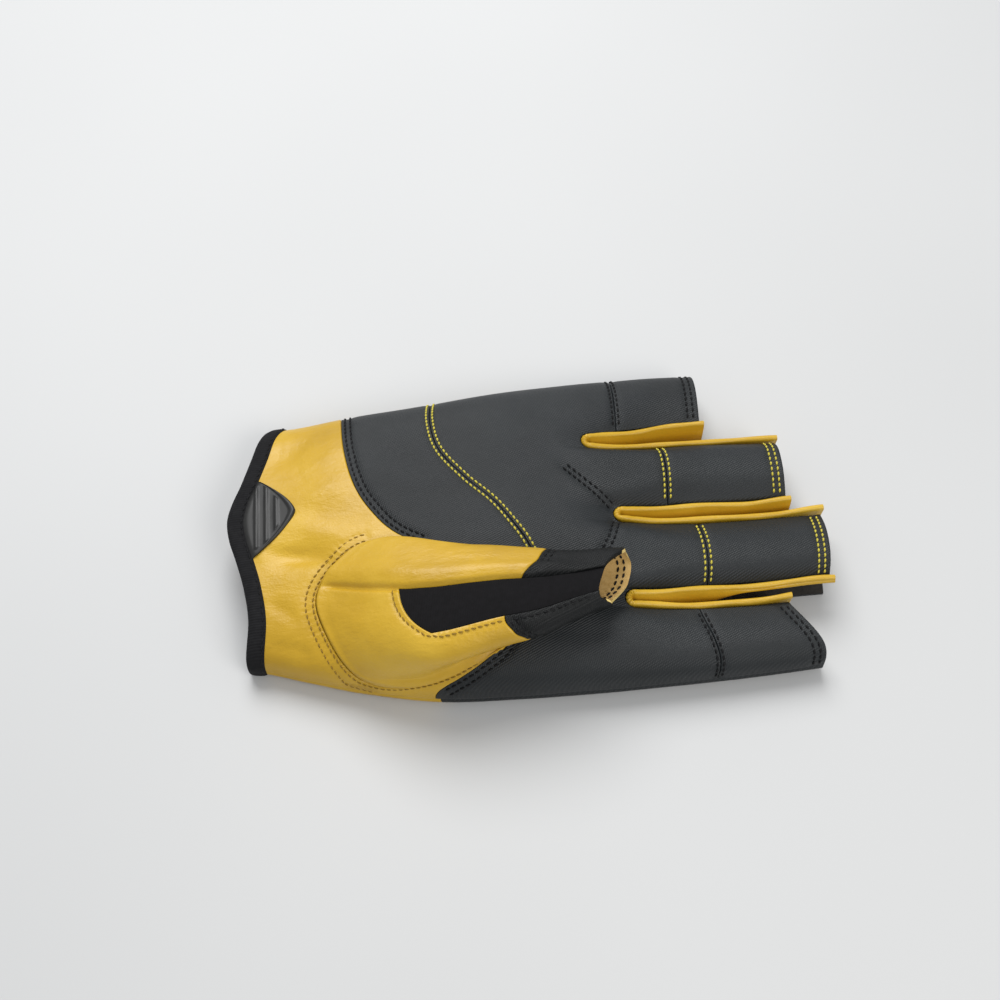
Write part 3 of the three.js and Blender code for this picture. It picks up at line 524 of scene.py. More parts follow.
def face_out(obj):
    """Turns a closed mesh's faces outwards."""
    mesh = obj.data
    mesh.calc_loop_triangles()
    corners = np.zeros(len(mesh.loop_triangles) * 3, int)
    mesh.loop_triangles.foreach_get("vertices", corners)
    places = np.zeros(len(mesh.vertices) * 3)
    mesh.vertices.foreach_get("co", places)
    a, b, c = places.reshape(-1, 3)[corners.reshape(-1, 3)].transpose(1, 0, 2)
    if np.einsum("ij,ij->", a, np.cross(b, c)) < 0:
        mesh.flip_normals()
        mesh.update()


def place(obj, node=None):
    """The piece rides on the glove's one body, and stands for a node of the solids."""
    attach(obj, "root")
    if node:
        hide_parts(node)


def with_border(keep, wraps):
    """The kept cells with a border of cells round them, which are the far ones where a grid wraps."""
    around = np.pad(keep, 1)
    if wraps:
        around[1:-1, 0] = keep[:, -1]
        around[1:-1, -1] = keep[:, 0]
    return around


def edge_points(points, around, wraps):
    """Points along the edges of the kept cells, close together."""
    columns = points.shape[1]
    turned = around[:-1, 1:-1] != around[1:, 1:-1]
    pairs = [(points[r, c], points[r, (c + 1) % columns]) for r, c in zip(*np.nonzero(turned))]
    turned = around[1:-1, :-1] != around[1:-1, 1:]
    if wraps:
        turned = turned[:, :-1]
    pairs += [(points[r, c], points[r + 1, c]) for r, c in zip(*np.nonzero(turned))]
    return [lerp(a, b, t) for a, b in pairs for t in np.linspace(0, 1, 6, endpoint=False)]


def thinned(points, normals, thickness):
    """A wrapped sheet's thickness, less where a tight fold leaves no room for it."""
    ray_start, ray_reach, share, slope, least = 0.02, 4.0, 0.35, 0.1, 0.12
    here = np.arange(points.shape[0] * points.shape[1]).reshape(points.shape[:2])
    beside = np.roll(here, -1, 1)
    faces = np.stack([here[:-1], beside[:-1], beside[1:], here[1:]], -1).reshape(-1, 4)
    tree = BVHTree.FromPolygons(points.reshape(-1, 3).tolist(), faces.tolist())
    room = np.full(here.shape, thickness)
    for at in np.ndindex(here.shape):
        start = Vector(points[at] - normals[at] * ray_start)
        distance = tree.ray_cast(start, Vector(-normals[at]), ray_reach)[3]
        if distance is not None:
            room[at] = min(thickness, share * distance)
    for _ in range(12):
        padded = np.pad(room, ((1, 1), (0, 0)), mode="edge")
        lowest = np.minimum(padded[:-2], padded[2:])
        lowest = np.minimum(lowest, np.minimum(np.roll(room, 1, 1), np.roll(room, -1, 1)))
        room = np.minimum(room, lowest + slope)
    return np.maximum(room, least)


def shell(name, grid, keep, thickness, materials, shape=None, rounding=EDGE_ROUND, wraps=False,
          narrow=False):
    """A closed sheet from the kept cells of a grid, with rounded edges and the outer side shaped.
    Its materials are those of the outer side, the inner side and the edges."""
    points, normals = grid
    columns = points.shape[1]
    if narrow:
        thickness = thinned(points, normals, thickness)[..., None]
    around = with_border(keep, wraps)
    edge, _ = nearest(tree_of(edge_points(points, around, wraps)), points)
    near_edge = np.clip(1 - edge / rounding, 0, 1)
    drop = rounding * (1 - np.sqrt(1 - near_edge**2))
    relief = shape(points) if shape else 0.0
    outer = points + normals * (relief - drop)[..., None]
    inner = points + normals * (np.minimum(relief, 0)[..., None] - thickness)
    vertices, numbers, faces, layers = [], {}, [], []

    def vertex(sheet, r, c):
        key = (sheet is inner, r, c % columns)
        if key not in numbers:
            numbers[key] = len(vertices)
            vertices.append(sheet[key[1:]])
        return numbers[key]

    for r, c in zip(*np.nonzero(keep)):
        corners = [(r, c), (r + 1, c), (r + 1, c + 1), (r, c + 1)]
        top = [vertex(outer, *corner) for corner in corners]
        under = [vertex(inner, *corner) for corner in corners]
        faces += [top, under[::-1]]
        layers += [0, 1]
        beside = [around[r + 1, c], around[r + 2, c + 1], around[r + 1, c + 2], around[r, c + 1]]
        for side, kept in enumerate(beside):
            if not kept:
                following = (side + 1) % 4
                faces.append([top[following], top[side], under[side], under[following]])
                layers.append(2)
    obj = new_object(name, vertices, faces, materials, layers)
    face_out(obj)
    return obj


def sweep(name, sections, closed, materials):
    """A solid from sections along a path, each a ring of points."""
    count, ring = len(sections), len(sections[0])
    faces = []
    for i in range(count if closed else count - 1):
        for k in range(ring):
            a, b = i * ring + k, i * ring + (k + 1) % ring
            c, d = ((i + 1) % count) * ring + (k + 1) % ring, ((i + 1) % count) * ring + k
            faces.append([a, b, c, d])
    if not closed:
        faces.append(list(range(ring))[::-1])
        faces.append([(count - 1) * ring + k for k in range(ring)])
    obj = new_object(name, np.concatenate(sections), faces, materials)
    face_out(obj)
    return obj


# Materials


class Look:
    """A material, with short ways to add nodes to it."""

    def __init__(self, name, **plain):
        self.material = bpy.data.materials.new(name)
        self.material.use_nodes = True
        self.nodes = self.material.node_tree.nodes
        self.links = self.material.node_tree.links
        self.set(self.nodes["Principled BSDF"], plain)

    def set(self, node, inputs):
        """Gives a node its inputs, each a plain value or another node's output."""
        for name, value in inputs.items():
            socket = node.inputs[name.replace("_", " ")]
            if isinstance(value, bpy.types.NodeSocket):
                self.links.new(value, socket)
            else:
                socket.default_value = value

    def finish(self, **inputs):
        self.set(self.nodes["Principled BSDF"], inputs)
        return self.material

    def node(self, kind, output, **inputs):
        made = self.nodes.new("ShaderNode" + kind)
        self.set(made, inputs)
        return made.outputs[output]

    def coordinates(self, scale=(1, 1, 1), turn=0.0):
        where = self.node("TexCoord", "Object")
        turned = (0, 0, math.radians(turn))
        return self.node("Mapping", "Vector", Vector=where, Scale=scale, Rotation=turned)

    def noise(self, where, scale, detail, roughness=0.55):
        return self.node(
            "TexNoise", "Fac", Vector=where, Scale=scale, Detail=detail, Roughness=roughness
        )

    def wave(self, turn, **inputs):
        return self.node("TexWave", "Fac", Vector=self.coordinates(turn=turn), **inputs)

    def ramp(self, value, *stops):
        made = self.nodes.new("ShaderNodeValToRGB")
        elements = made.color_ramp.elements
        elements.remove(elements[1])
        for i, (at, color) in enumerate(stops):
            stop = elements[0] if i == 0 else elements.new(at)
            stop.position = at
            stop.color = (*color, 1)
        self.set(made, {"Fac": value})
        return made.outputs["Color"]

    def spread(self, value, low, high):
        return self.node("MapRange", "Result", Value=value, To_Min=low, To_Max=high)

    def bump(self, height, distance, strength, **under):
        return self.node(
            "Bump", "Normal", Height=height, Distance=distance, Strength=strength, **under
        )


def yellow_leather():
    look = Look("yellow_soft_leather", Specular_IOR_Level=0.45)
    where = look.coordinates()
    deep, mid, pale = (0.465, 0.274, 0.013), (0.55, 0.332, 0.018), (0.62, 0.392, 0.032)
    color = look.ramp(look.noise(where, 38, 4), (0.3, deep), (0.5, mid), (0.72, pale))
    smears = look.noise(look.coordinates((1, 2.4, 1), 12), 90, 5)
    wrinkles = look.noise(look.coordinates((1, 2.2, 1), 20), 170, 6, 0.6)
    pores = look.node("TexVoronoi", "Distance", Vector=where, Scale=1500)
    creased = look.bump(wrinkles, 0.0007, 0.5)
    pored = look.bump(pores, 0.00008, 0.35, Normal=creased)
    return look.finish(Base_Color=color, Roughness=look.spread(smears, 0.3, 0.5), Normal=pored)


def black_leather(name, dark, light, gloss):
    look = Look(name, Specular_IOR_Level=gloss)
    where = look.coordinates()
    color = look.ramp(look.noise(where, 30, 4), (0.3, dark), (0.7, light))
    rub = look.noise(look.coordinates((1, 1.6, 1)), 60, 5)
    twill = look.wave(66, Scale=520, Distortion=1.1, Detail=2, Detail_Scale=2.0)
    cross = look.wave(-12, Scale=640, Distortion=1.4, Detail=2, Detail_Scale=2.0)
    waved = look.bump(look.noise(where, 140, 4), 0.0007, 0.3)
    ribbed = look.bump(twill, 0.00013, 0.55, Normal=waved)
    woven = look.bump(cross, 0.0001, 0.4, Normal=ribbed)
    return look.finish(Base_Color=color, Roughness=look.spread(rub, 0.42, 0.58), Normal=woven)


def suede(name, dark, light):
    look = Look(name, Specular_IOR_Level=0.2, Roughness=0.95)
    fuzz = look.noise(look.coordinates(), 420, 6, 0.7)
    color = look.ramp(fuzz, (0.3, dark), (0.7, light))
    return look.finish(Base_Color=color, Normal=look.bump(fuzz, 0.0004, 0.6))


def knitted(name, dark, light, scale, turn):
    look = Look(name, Specular_IOR_Level=0.25, Roughness=0.92)
    ribs = look.wave(turn, Scale=scale, Distortion=0.6, Detail=1)
    fuzz = look.noise(look.coordinates(), 600, 4)
    color = look.ramp(fuzz, (0.35, dark), (0.7, light))
    ribbed = look.bump(ribs, 0.00015, 0.5)
    return look.finish(Base_Color=color, Normal=look.bump(fuzz, 0.00005, 0.35, Normal=ribbed))


def rubber(name, dark, light):
    look = Look(name)
    mottle = look.noise(look.coordinates(), 160, 4)
    color = look.ramp(mottle, (0.3, dark), (0.7, light))
    rough = look.spread(mottle, 0.4, 0.54)
    return look.finish(Base_Color=color, Roughness=rough, Normal=look.bump(mottle, 0.0003, 0.25))


def thread(name, dark, light, roughness=0.6):
    look = Look(name, Specular_IOR_Level=0.25, Roughness=roughness)
    twist = look.wave(35, Scale=900, Distortion=0.4)
    # The colour follows the twist's bands and is darker where the bump sinks: painted shade in the
    # twist's grooves.
    color = look.ramp(twist, (0.2, dark), (0.8, light))
    return look.finish(Base_Color=color, Normal=look.bump(twist, 0.00008, 0.6))


YELLOW = yellow_leather()
BLACK = black_leather(
    "black_grained_leather", (0.0095, 0.0115, 0.0125), (0.0155, 0.0185, 0.0205), 0.36
)
THUMB_BLACK = black_leather(
    "black_thumb_leather", (0.005, 0.0055, 0.0055), (0.008, 0.009, 0.0095), 0.22
)
TAN_SUEDE = suede("tan_suede", (0.42, 0.26, 0.08), (0.62, 0.42, 0.17))
DARK_SUEDE = suede("dark_suede", (0.03, 0.027, 0.024), (0.06, 0.055, 0.05))
CUT_EDGE = suede("pale_cut_edge", (0.6, 0.44, 0.13), (0.78, 0.6, 0.24))
STRETCH = knitted(
    "black_stretch_knit", (0.0035, 0.0032, 0.0038), (0.0055, 0.005, 0.006), 700, 0
)
TAPE = knitted("black_tape", (0.007, 0.007, 0.008), (0.011, 0.011, 0.012), 420, 90)
RUBBER = rubber("dark_moulded_rubber", (0.009, 0.009, 0.0085), (0.015, 0.015, 0.014))
YELLOW_THREAD = thread("yellow_thread", (0.42, 0.36, 0.03), (0.72, 0.62, 0.1))
BLACK_THREAD = thread("black_thread", (0.003, 0.003, 0.004), (0.01, 0.01, 0.011), 0.7)
BROWN_THREAD = thread("brown_thread", (0.2, 0.11, 0.013), (0.36, 0.22, 0.035))
YELLOW_SHEET = [YELLOW, TAN_SUEDE, CUT_EDGE]
BLACK_SHEET = [BLACK, DARK_SUEDE, BLACK]


# Lines on the palm side, for stitches and folds. Each is a list of points with their normals.


def palm_surface(x, y):
    """Points of the palm side over a point of the plan, with the dips between the fingers."""
    middle, half, _ = hand_at(x)
    angle = angle_of((y - middle) / half, FRONT_FULLNESS)
    share = np.ones_like(x)
    for finger in range(4):
        near, far = finger_edges(FRONT, finger, x)
        s = (angle - near) / (far - near)
        dip = dip_share(finger, np.clip(s, 0, 1), dip_power(x))
        share = np.where((s >= 0) & (s <= 1), dip, share)
    return np.stack([x, y, palm_height(x, y) - dip_at(x) * share], -1)


def surface_line(x, y, step=0.4):
    """A line over the palm side through points of the plan, with normals."""
    x, y = np.array(x, float), np.array(y, float)
    plan = resample(np.stack([x, y, np.zeros_like(x)], 1), step)
    x, y = plan[:, 0], plan[:, 1]
    d = 0.3
    along = palm_surface(x + d, y) - palm_surface(x - d, y)
    across = palm_surface(x, y + d) - palm_surface(x, y - d)
    return np.hstack([palm_surface(x, y), unit(np.cross(along, across))])


def curve_line(curve, low, high):
    across = np.linspace(low, high, 120)
    x = read(curve, "x", across, "y") * GLOVE_LENGTH
    middle, half, _ = hand_at(x)
    return surface_line(x, middle + half * across)


def finger_line(finger, place_at, shift):
    s = np.linspace(0.04, 0.96, 60)
    points = hand_points(FRONT, Column("finger", finger, s), place_at(finger, s) + shift)
    return surface_line(points[:, 0], points[:, 1])


def aside_of(places, normals):
    """The way across a line, in its surface."""
    return unit(np.cross(np.gradient(places, axis=0), normals))


def beside(line, distance):
    """The line moved sideways over the palm side."""
    places, normals = line[:, :3], line[:, 3:]
    moved = places + aside_of(places, normals) * distance
    return np.hstack([palm_surface(moved[:, 0], moved[:, 1]), normals])


Stitches = namedtuple("Stitches", "line pitch width thread group sink")
STITCH_ROWS = []


def sew(line, pitch, width, thread_material, group, sink=0.22):
    """Adds one row of stitches, which sinks into the leather."""
    row = Stitches(line, pitch, width, thread_material, group, sink)
    STITCH_ROWS.append(row)
    return row


def sew_palm():
    seam = curve_line(PALM_SEAM, -0.3, 0.985)
    for side in (-0.95, 0.95):
        sew(beside(seam, side), FINE_PITCH, 0.62, YELLOW_THREAD, "palm_seam")
    edges = [curve_line(PALM_EDGE, -0.16, 0.985), curve_line(PALM_EDGE, -0.985, -0.72)]
    for side in (1.2, 2.8):
        for edge in edges:
            sew(beside(edge, side), DARK_PITCH, 0.58, BLACK_THREAD, "palm_edge", 0.3)
    for finger, name in enumerate(FINGER_NAMES):
        colored = finger in (1, 2)
        pitch, own_thread = (FINE_PITCH, YELLOW_THREAD) if colored else (DARK_PITCH, BLACK_THREAD)
        for place_at, shifts in ((finger_seam, (-0.9, 0.9)), (finger_end, (-3.6, -1.8))):
            for shift in shifts:
                line = finger_line(finger, place_at, shift)
                sew(line, pitch, 0.62, own_thread, f"{name}_seams")
    darts = [
        surface_line((12.3, 18.5, 25.0), (15.0, 8.2, 1.8)),
        surface_line((25.6, 23.4, 19.0, 14.5), (-3.4, -9.5, -17.0, -24.0)),
    ]
    for side in (-0.85, 0.85):
        for dart in darts:
            sew(beside(dart, side), DARK_PITCH, 0.56, BLACK_THREAD, "dart", 0.3)


def near_line(points, line, margin):
    """Which points lie in the line's box or within a margin of it."""
    low, high = line[:, :3].min(0) - margin, line[:, :3].max(0) + margin
    return np.all((points > low) & (points < high), axis=-1)


def stitch_relief(points, rows, reach=1.1):
    """How the leather sinks along rows of stitches and puckers between them."""
    relief = np.zeros(points.shape[:2])
    for row in rows:
        inside = near_line(points, row.line, 3)
        if inside.any():
            distance, number = nearest(tree_of(row.line[:, :3]), points[inside])
            along = lengths_along(row.line)[number]
            pucker = 0.28 * np.cos(2 * np.pi * along / row.pitch) * bell(distance / 1.8)
            relief[inside] -= row.sink * (bell(distance / reach) + pucker)
    return relief


def fold_relief(points, x, y, width, depth):
    """A soft crease, or a ridge where its depth is negative, along a line over the palm side."""
    line = surface_line(x, y, 1.0)
    relief = np.zeros(points.shape[:2])
    inside = near_line(points, line, 3 * width)
    if inside.any():
        distance, number = nearest(tree_of(line[:, :3]), points[inside])
        fade = np.sin(np.pi * np.clip((number + 0.5) / len(line), 0, 1)) ** 0.7
        relief[inside] = -depth * bell(distance / width) * fade
    return relief


def wobble(points, size, amount, seed):
    """Soft uneven swelling, from a few crossing waves."""
    draw = np.random.default_rng(seed)
    total = np.zeros(points.shape[:2])
    for _ in range(7):
        way = unit(draw.normal(size=3))
        phase = draw.uniform(0, 2 * np.pi)
        total += np.sin(points @ way * 2 * np.pi / (size * draw.uniform(0.6, 1.6)) + phase)
    return amount * total / 7


def clear_of_cuff(points):
    """0 under the binding's tape, and 1 a little way from it."""
    middle, half, _ = hand_at(points[..., 0])
    cuff = read(CUFF_EDGE, "x", (points[..., 1] - middle) / half, "y") * GLOVE_LENGTH
    return smoothstep((points[..., 0] - cuff - BINDING_WIDTH + 0.8) / 4)


# The palm side and the back


def leather_shape(folds, size, amount, seed):
    def shape(points):
        relief = stitch_relief(points, HAND_ROWS)
        for fold in folds:
            relief += fold_relief(points, *fold)
        return (relief + wobble(points, size, amount, seed)) * clear_of_cuff(points)

    return shape


def at_curve(curve, side, shift=0.0):
    """For a grid: where each stretch of columns meets a curve, a knuckle or a place on its finger."""
    return lambda column: curve_x(curve, side, column, shift)


def at_knuckle(side):
    return lambda column: knuckle_x(side, column)


def at_finger(place_at, shift=0.0):
    return lambda column: place_at(column.index if column.kind == "finger" else 0, column.s) + shift


def whole(points):
    return np.ones((points.shape[0] - 1, points.shape[1] - 1), bool)


def finger_cells(kinds):
    return (kinds[:-1] == kinds[1:]) & (kinds[:-1] >= 0)


def make_palm_side():
    """The panels of the palm side. The wrist panel comes back, to be cut for the thumb."""
    cuff = at_curve(CUFF_EDGE, FRONT, BINDING_WIDTH - PANEL_UNDER_TAPE)
    edge = at_curve(PALM_EDGE, FRONT, GROOVE / 2)
    *grid, _, _ = hand_grid(FRONT, [cuff, at_curve(PALM_EDGE, FRONT, -GROOVE / 2)], [70])
    shape = leather_shape(WRIST_FOLDS, 26, 0.3, 3)
    wrist = shell("wrist_panel", grid, whole(grid[0]), SOFT_LEATHER, YELLOW_SHEET, shape)

    curves = [edge, at_curve(PALM_SEAM, FRONT, -GROOVE / 2)]
    *grid, _, _ = hand_grid(FRONT, curves, [54])
    keep = whole(grid[0])
    heel_columns = np.arange(keep.shape[1]) >= HEEL_FIRST_COLUMN
    shape = leather_shape([], 30, 0.18, 5)
    heel = shell("palm_heel_panel", grid, keep & heel_columns, PALM_LEATHER, BLACK_SHEET, shape)
    place(heel, "palm_heel_panel")

    curves = [edge, at_curve(PALM_SEAM, FRONT, GROOVE / 2), at_knuckle(FRONT)]
    curves.append(at_finger(finger_seam, -GROOVE / 2))
    *grid, kinds, starts = hand_grid(FRONT, curves, [40, 52, 22], 2)
    keep = whole(grid[0])
    keep[: starts[1], heel_columns] = False
    keep[starts[2] :] &= finger_cells(kinds)
    shape = leather_shape(PALM_FOLDS, 30, 0.2, 7)
    palm = shell("palm_finger_panel", grid, keep, PALM_LEATHER, BLACK_SHEET, shape)
    place(palm, "palm_finger_panel")

    curves = [at_finger(finger_seam, GROOVE / 2), at_finger(finger_end)]
    *grid, kinds, _ = hand_grid(FRONT, curves, [44], 0)
    for finger, finger_name in enumerate(FINGER_NAMES):
        name = f"finger_end_{finger_name}"
        keep = whole(grid[0]) & finger_cells(kinds) & (kinds[:-1] == finger)
        shape = leather_shape([], 20, 0.15, 20 + finger)
        piece = shell(name, grid, keep, PALM_LEATHER, BLACK_SHEET, shape, 0.6)
        place(piece, name)
    return wrist


def make_back():
    cuff = at_curve(BACK_CUFF_EDGE, BACK, BINDING_WIDTH - PANEL_UNDER_TAPE)
    *grid, _, _ = hand_grid(BACK, [cuff, at_curve(BACK_SEAM, BACK, -GROOVE / 2)], [40])
    panel = shell("back_panel", grid, whole(grid[0]), SOFT_LEATHER, YELLOW_SHEET, rounding=0.4)
    place(panel, "back_panel")
    curves = [at_curve(BACK_SEAM, BACK, GROOVE / 2), at_knuckle(BACK), at_finger(finger_end)]
    *grid, kinds, starts = hand_grid(BACK, curves, [26, 44], 1)
    keep = whole(grid[0])
    keep[starts[1] :] &= finger_cells(kinds)
    panel = shell("back_finger_panel", grid, keep, SOFT_LEATHER, BLACK_SHEET, rounding=0.4)
    place(panel, "back_finger_panel")


# The thumb


def thumb_root(angle):
    """Points of the thumb's root seam on the palm side, lifted points and the palm's normals."""
    x = THUMB_START + read_round("rootX", angle) * GLOVE_LENGTH
    across = across_of(np.clip(read_round("round", angle), 0, 1), FRONT_FULLNESS)
    lift = read_round("lift", angle) * THUMB_REST_GAP
    middle, half, top = hand_at(x)
    y = middle + half * across
    power = FRONT_FULLNESS - 1
    aside = signed_power(across, power) * (top - SIDE_SEAM_HEIGHT)
    up = rise_at(across, FRONT_FULLNESS) ** power * half
    normal = unit(np.stack([np.zeros_like(x), aside, up], -1))
    seam = np.stack([x, y, palm_height(x, y)], -1)
    return seam, seam + normal * lift[..., None], normal


def thumb_box(x):
    """The middle and the half size of the thumb's section, across and up."""
    share = (x - THUMB_START) / THUMB_LENGTH
    near, far = read(THUMB, "near", share) * PALM_WIDTH, read(THUMB, "far", share) * PALM_WIDTH
    bottom = read(THUMB, "bottom", share) * THUMB_HEIGHT
    top = read(THUMB, "top", share) * THUMB_HEIGHT
    return (near + far) / 2, (bottom + top) / 2, (far - near) / 2, (top - bottom) / 2


def thumb_section(x, angle):
    middle_y, middle_z, half_y, half_z = thumb_box(x)
    a = np.radians(angle)
    y = middle_y + half_y * signed_power(np.cos(a), 2 / THUMB_FULLNESS)
    return y, middle_z + half_z * signed_power(np.sin(a), 2 / THUMB_FULLNESS)


def thumb_points(angle, x):
    """Points of the thumb, which leaves the palm at its root and then rests over it."""
    _, root, _ = thumb_root(angle)
    y, z = thumb_section(x, angle)
    root_y, root_z = thumb_section(root[..., 0], angle)
    share = np.clip((x - root[..., 0]) / (THUMB_BLEND * THUMB_LENGTH), 0, 1)
    fade = 1 - smoothstep(share)
    y = y + (root[..., 1] - root_y) * fade
    z = z + (root[..., 2] - root_z) * fade
    rest = np.maximum(palm_height(x, y, THUMB_REST_GAP), SIDE_SEAM_HEIGHT + THUMB_REST_GAP)
    ease = THUMB_REST_GAP * np.minimum(1, 6 * share)
    over = z - rest
    z = np.where(share == 0, root[..., 2], rest + (over + np.hypot(over, ease)) / 2)
    return np.stack([x, y, z], -1)


def thumb_angles():
    """Angles of the tube's columns. They crowd at the roll beside the insert and at the fold below."""
    insert = np.linspace(INSERT_FAR_ANGLE, INSERT_NEAR_ANGLE, INSERT_COLUMNS + 1)
    roll_start = INSERT_FAR_ANGLE + 360 - ROLL_ANGLE
    near = np.linspace(INSERT_NEAR_ANGLE, FOLD_ANGLES[0], NEAR_COLUMNS + 1)
    fold = np.linspace(*FOLD_ANGLES, FOLD_COLUMNS + 1)
    under = np.linspace(FOLD_ANGLES[1], roll_start, UNDER_COLUMNS + 1)
    t = np.linspace(0, 1, ROLL_COLUMNS + 1)
    roll = roll_start + ROLL_ANGLE * (1 - (1 - t) ** 1.6)
    return np.concatenate([insert, near[1:], fold[1:], under[1:], roll[1:-1]])


def thumb_line(angle, x, lift=0.0):
    """A line over the thumb through angles and places along it, with normals."""
    d = 0.3
    along = thumb_points(angle, x + d) - thumb_points(angle, x - d)
    across = thumb_points(angle + 1, x) - thumb_points(angle - 1, x)
    normal = unit(np.cross(across, along))
    return resample(np.hstack([thumb_points(angle, x) + normal * lift, normal]), 0.35)


def insert_start(angle):
    s = np.clip((angle - INSERT_FAR_ANGLE) / (INSERT_NEAR_ANGLE - INSERT_FAR_ANGLE), 0, 1)
    return lerp(INSERT_START_FAR, INSERT_START_NEAR, s * s) * THUMB_LENGTH


def thumb_tip_start(angle):
    """Where the black tip begins. Both seams run straight beside the insert."""
    turn = np.mod(angle, 360)
    straighter = 1.3 * bell((turn - 66) / 15) + 1.2 * bell((turn - 146) / 15)
    return read_round("tip", angle) * THUMB_LENGTH + straighter


def thumb_end(angle):
    return read_round("end", angle) * THUMB_LENGTH


def eased(points, weight, passes=18):
    """The grid with its sharp turns rounded where it has weight."""
    for _ in range(passes):
        around = (np.roll(points, 1, 1) + np.roll(points, -1, 1)) / 2
        along = points.copy()
        along[1:-1] = (points[:-2] + points[2:]) / 2
        points = points + weight[..., None] * (0.4 * around + 0.2 * along - 0.6 * points)
    return points


def thumb_grid(cells):
    """The thumb's grid and normals, and the rows where the insert and the tip begin."""
    angle = thumb_angles()
    root, tip = read_round("rootX", angle) * GLOVE_LENGTH, thumb_tip_start(angle)
    turn = np.mod(angle, 360)
    away = np.maximum(INSERT_FAR_ANGLE - turn, turn - INSERT_NEAR_ANGLE)
    beyond = smoothstep(np.maximum(away, 0) / 55)
    start = lerp(insert_start(turn), lerp(root, tip, 0.45), beyond)
    stops = [THUMB_START + reach for reach in (root, start, tip, thumb_end(angle))]
    x, starts = rows_between(stops, cells)
    points = thumb_points(np.broadcast_to(angle, x.shape), x)
    row = np.arange(len(x))[:, None]
    below = smoothstep((turn - 205) / 20) * (1 - smoothstep((turn - 285) / 20))
    points = eased(points, below * smoothstep(row / 6) * (1 - smoothstep((row - starts[2]) / 30)))
    # The root's edge is tucked into the hole of the wrist panel.
    seam, _, inward = thumb_root(angle)
    tucked = [lerp(seam - inward * ROOT_TUCK, points[0], share) for share in (0, 0.35, 0.7)]
    points = np.concatenate([tucked, points])
    row = np.arange(len(points))[:, None]
    ridge = bell((row - len(tucked)) / 4) * (row > 0)
    points = eased(points, np.broadcast_to(ridge, points.shape[:2]), 6)
    closed = np.concatenate([points[:, -1:], points, points[:, :1]], 1)
    along, across = np.gradient(closed, axis=0), np.gradient(closed, axis=1)
    normals = unit(np.cross(across, along)[:, 1:-1])
    return points, normals, starts[1] + len(tucked), starts[2] + len(tucked)


def sew_thumb():
    """Rows of stitches on the thumb: round its insert, along the tip's seams and inside its end."""
    turn = np.linspace(INSERT_FAR_ANGLE + 1.5, INSERT_NEAR_ANGLE + 1, 24)
    arc = THUMB_START + insert_start(turn) - 1.7
    beside_insert = INSERT_NEAR_ANGLE + 6.0
    last = THUMB_START + thumb_tip_start(np.array(beside_insert)) - 0.6
    angle = np.concatenate([turn, np.full(60, beside_insert)])
    x = np.concatenate([arc, np.linspace(arc[-1] + 3.2, last, 60)])
    for _ in range(3):
        angle[20:30] = (angle[19:29] + angle[20:30] + angle[21:31]) / 3
    rows = [sew(thumb_line(angle, x), BROWN_PITCH, 0.42, BROWN_THREAD, "thumb_insert_seam")]
    for low, high in ((26, 80), (132, 186)):
        turn = np.linspace(low, high, 60)
        for shift in (1.3, 2.9):
            line = thumb_line(turn, THUMB_START + thumb_tip_start(turn) + shift)
            rows.append(sew(line, DARK_PITCH, 0.5, BLACK_THREAD, "thumb_tip_seam", 0.28))
    x = np.linspace(last + 2.5, THUMB_START + 0.85 * THUMB_LENGTH, 60)
    line = thumb_line(np.full(60, INSERT_NEAR_ANGLE + 7.0), x)
    rows.append(sew(line, DARK_PITCH, 0.5, BLACK_THREAD, "thumb_tip_seam", 0.25))
    turn = np.linspace(-125, 42, 90)
    for shift in (1.9, 3.7):
        line = thumb_line(turn, THUMB_START + thumb_end(turn) - shift, -SOFT_LEATHER - 0.12)
        line[:, 3:] *= -1
        sew(line, DARK_PITCH, 0.55, BLACK_THREAD, "thumb_hem", 0)
    return rows


def sew_root():
    """Two rows of stitches round the thumb's root, on the wrist panel. The inner one runs on below."""
    for distance, last in ((0.8, 262), (2.9, 205)):
        seam, _, normal = thumb_root(np.linspace(28, last, 200))
        line = np.hstack([seam + aside_of(seam, normal) * distance, normal])
        height = palm_height(line[:, 0], line[:, 1])
        line[:, 2] = np.where(np.abs(normal[:, 2]) > 0.3, height, line[:, 2])
        line = resample(line[line[:, 2] > SIDE_SEAM_HEIGHT + 1.3], 0.4)
        sew(line, BROWN_PITCH, 0.42, BROWN_THREAD, "thumb_root_seam")


def make_plug():
    """The plug that cuts the thumb's hole out of the wrist panel."""
    above, below, wider, peak = 4.0, -6.0, 0.05, 6.0
    seam, _, normal = thumb_root(np.linspace(0, 360, 120, endpoint=False))
    outward = unit(np.cross(np.roll(seam, -1, 0) - np.roll(seam, 1, 0), normal))
    rings = [seam + outward * wider + normal * height for height in (above, below)]
    centres = [rings[0].mean(0) + np.array([0, 0, peak]), rings[1].mean(0)]
    count = len(seam)
    faces = []
    for c in range(count):
        d = (c + 1) % count
        faces += [[c, c + count, d + count, d], [2 * count, c, d]]
        faces.append([2 * count + 1, d + count, c + count])
    plug = new_object("plug", np.vstack([*rings, centres]), faces, [YELLOW])
    face_out(plug)
    return plug


def cut(obj, cutter):
    modifier = obj.modifiers.new("cut", "BOOLEAN")
    modifier.operation = "DIFFERENCE"
    modifier.solver = "EXACT"
    modifier.object = cutter
    graph = bpy.context.evaluated_depsgraph_get()
    mesh = bpy.data.meshes.new_from_object(obj.evaluated_get(graph))
    obj.modifiers.clear()
    obj.data = mesh
    bpy.data.objects.remove(cutter)


def recolour(obj, old, new, chosen):
    """Gives the chosen faces of some materials another one. Faces are chosen by x and angle."""
    for face in obj.data.polygons:
        if face.material_index in old:
            x, y, z = np.array(face.center) / MM - CENTRING
            middle_y, middle_z, _, _ = thumb_box(x)
            if chosen(x, math.degrees(math.atan2(z - middle_z, y - middle_y))):
                face.material_index = new


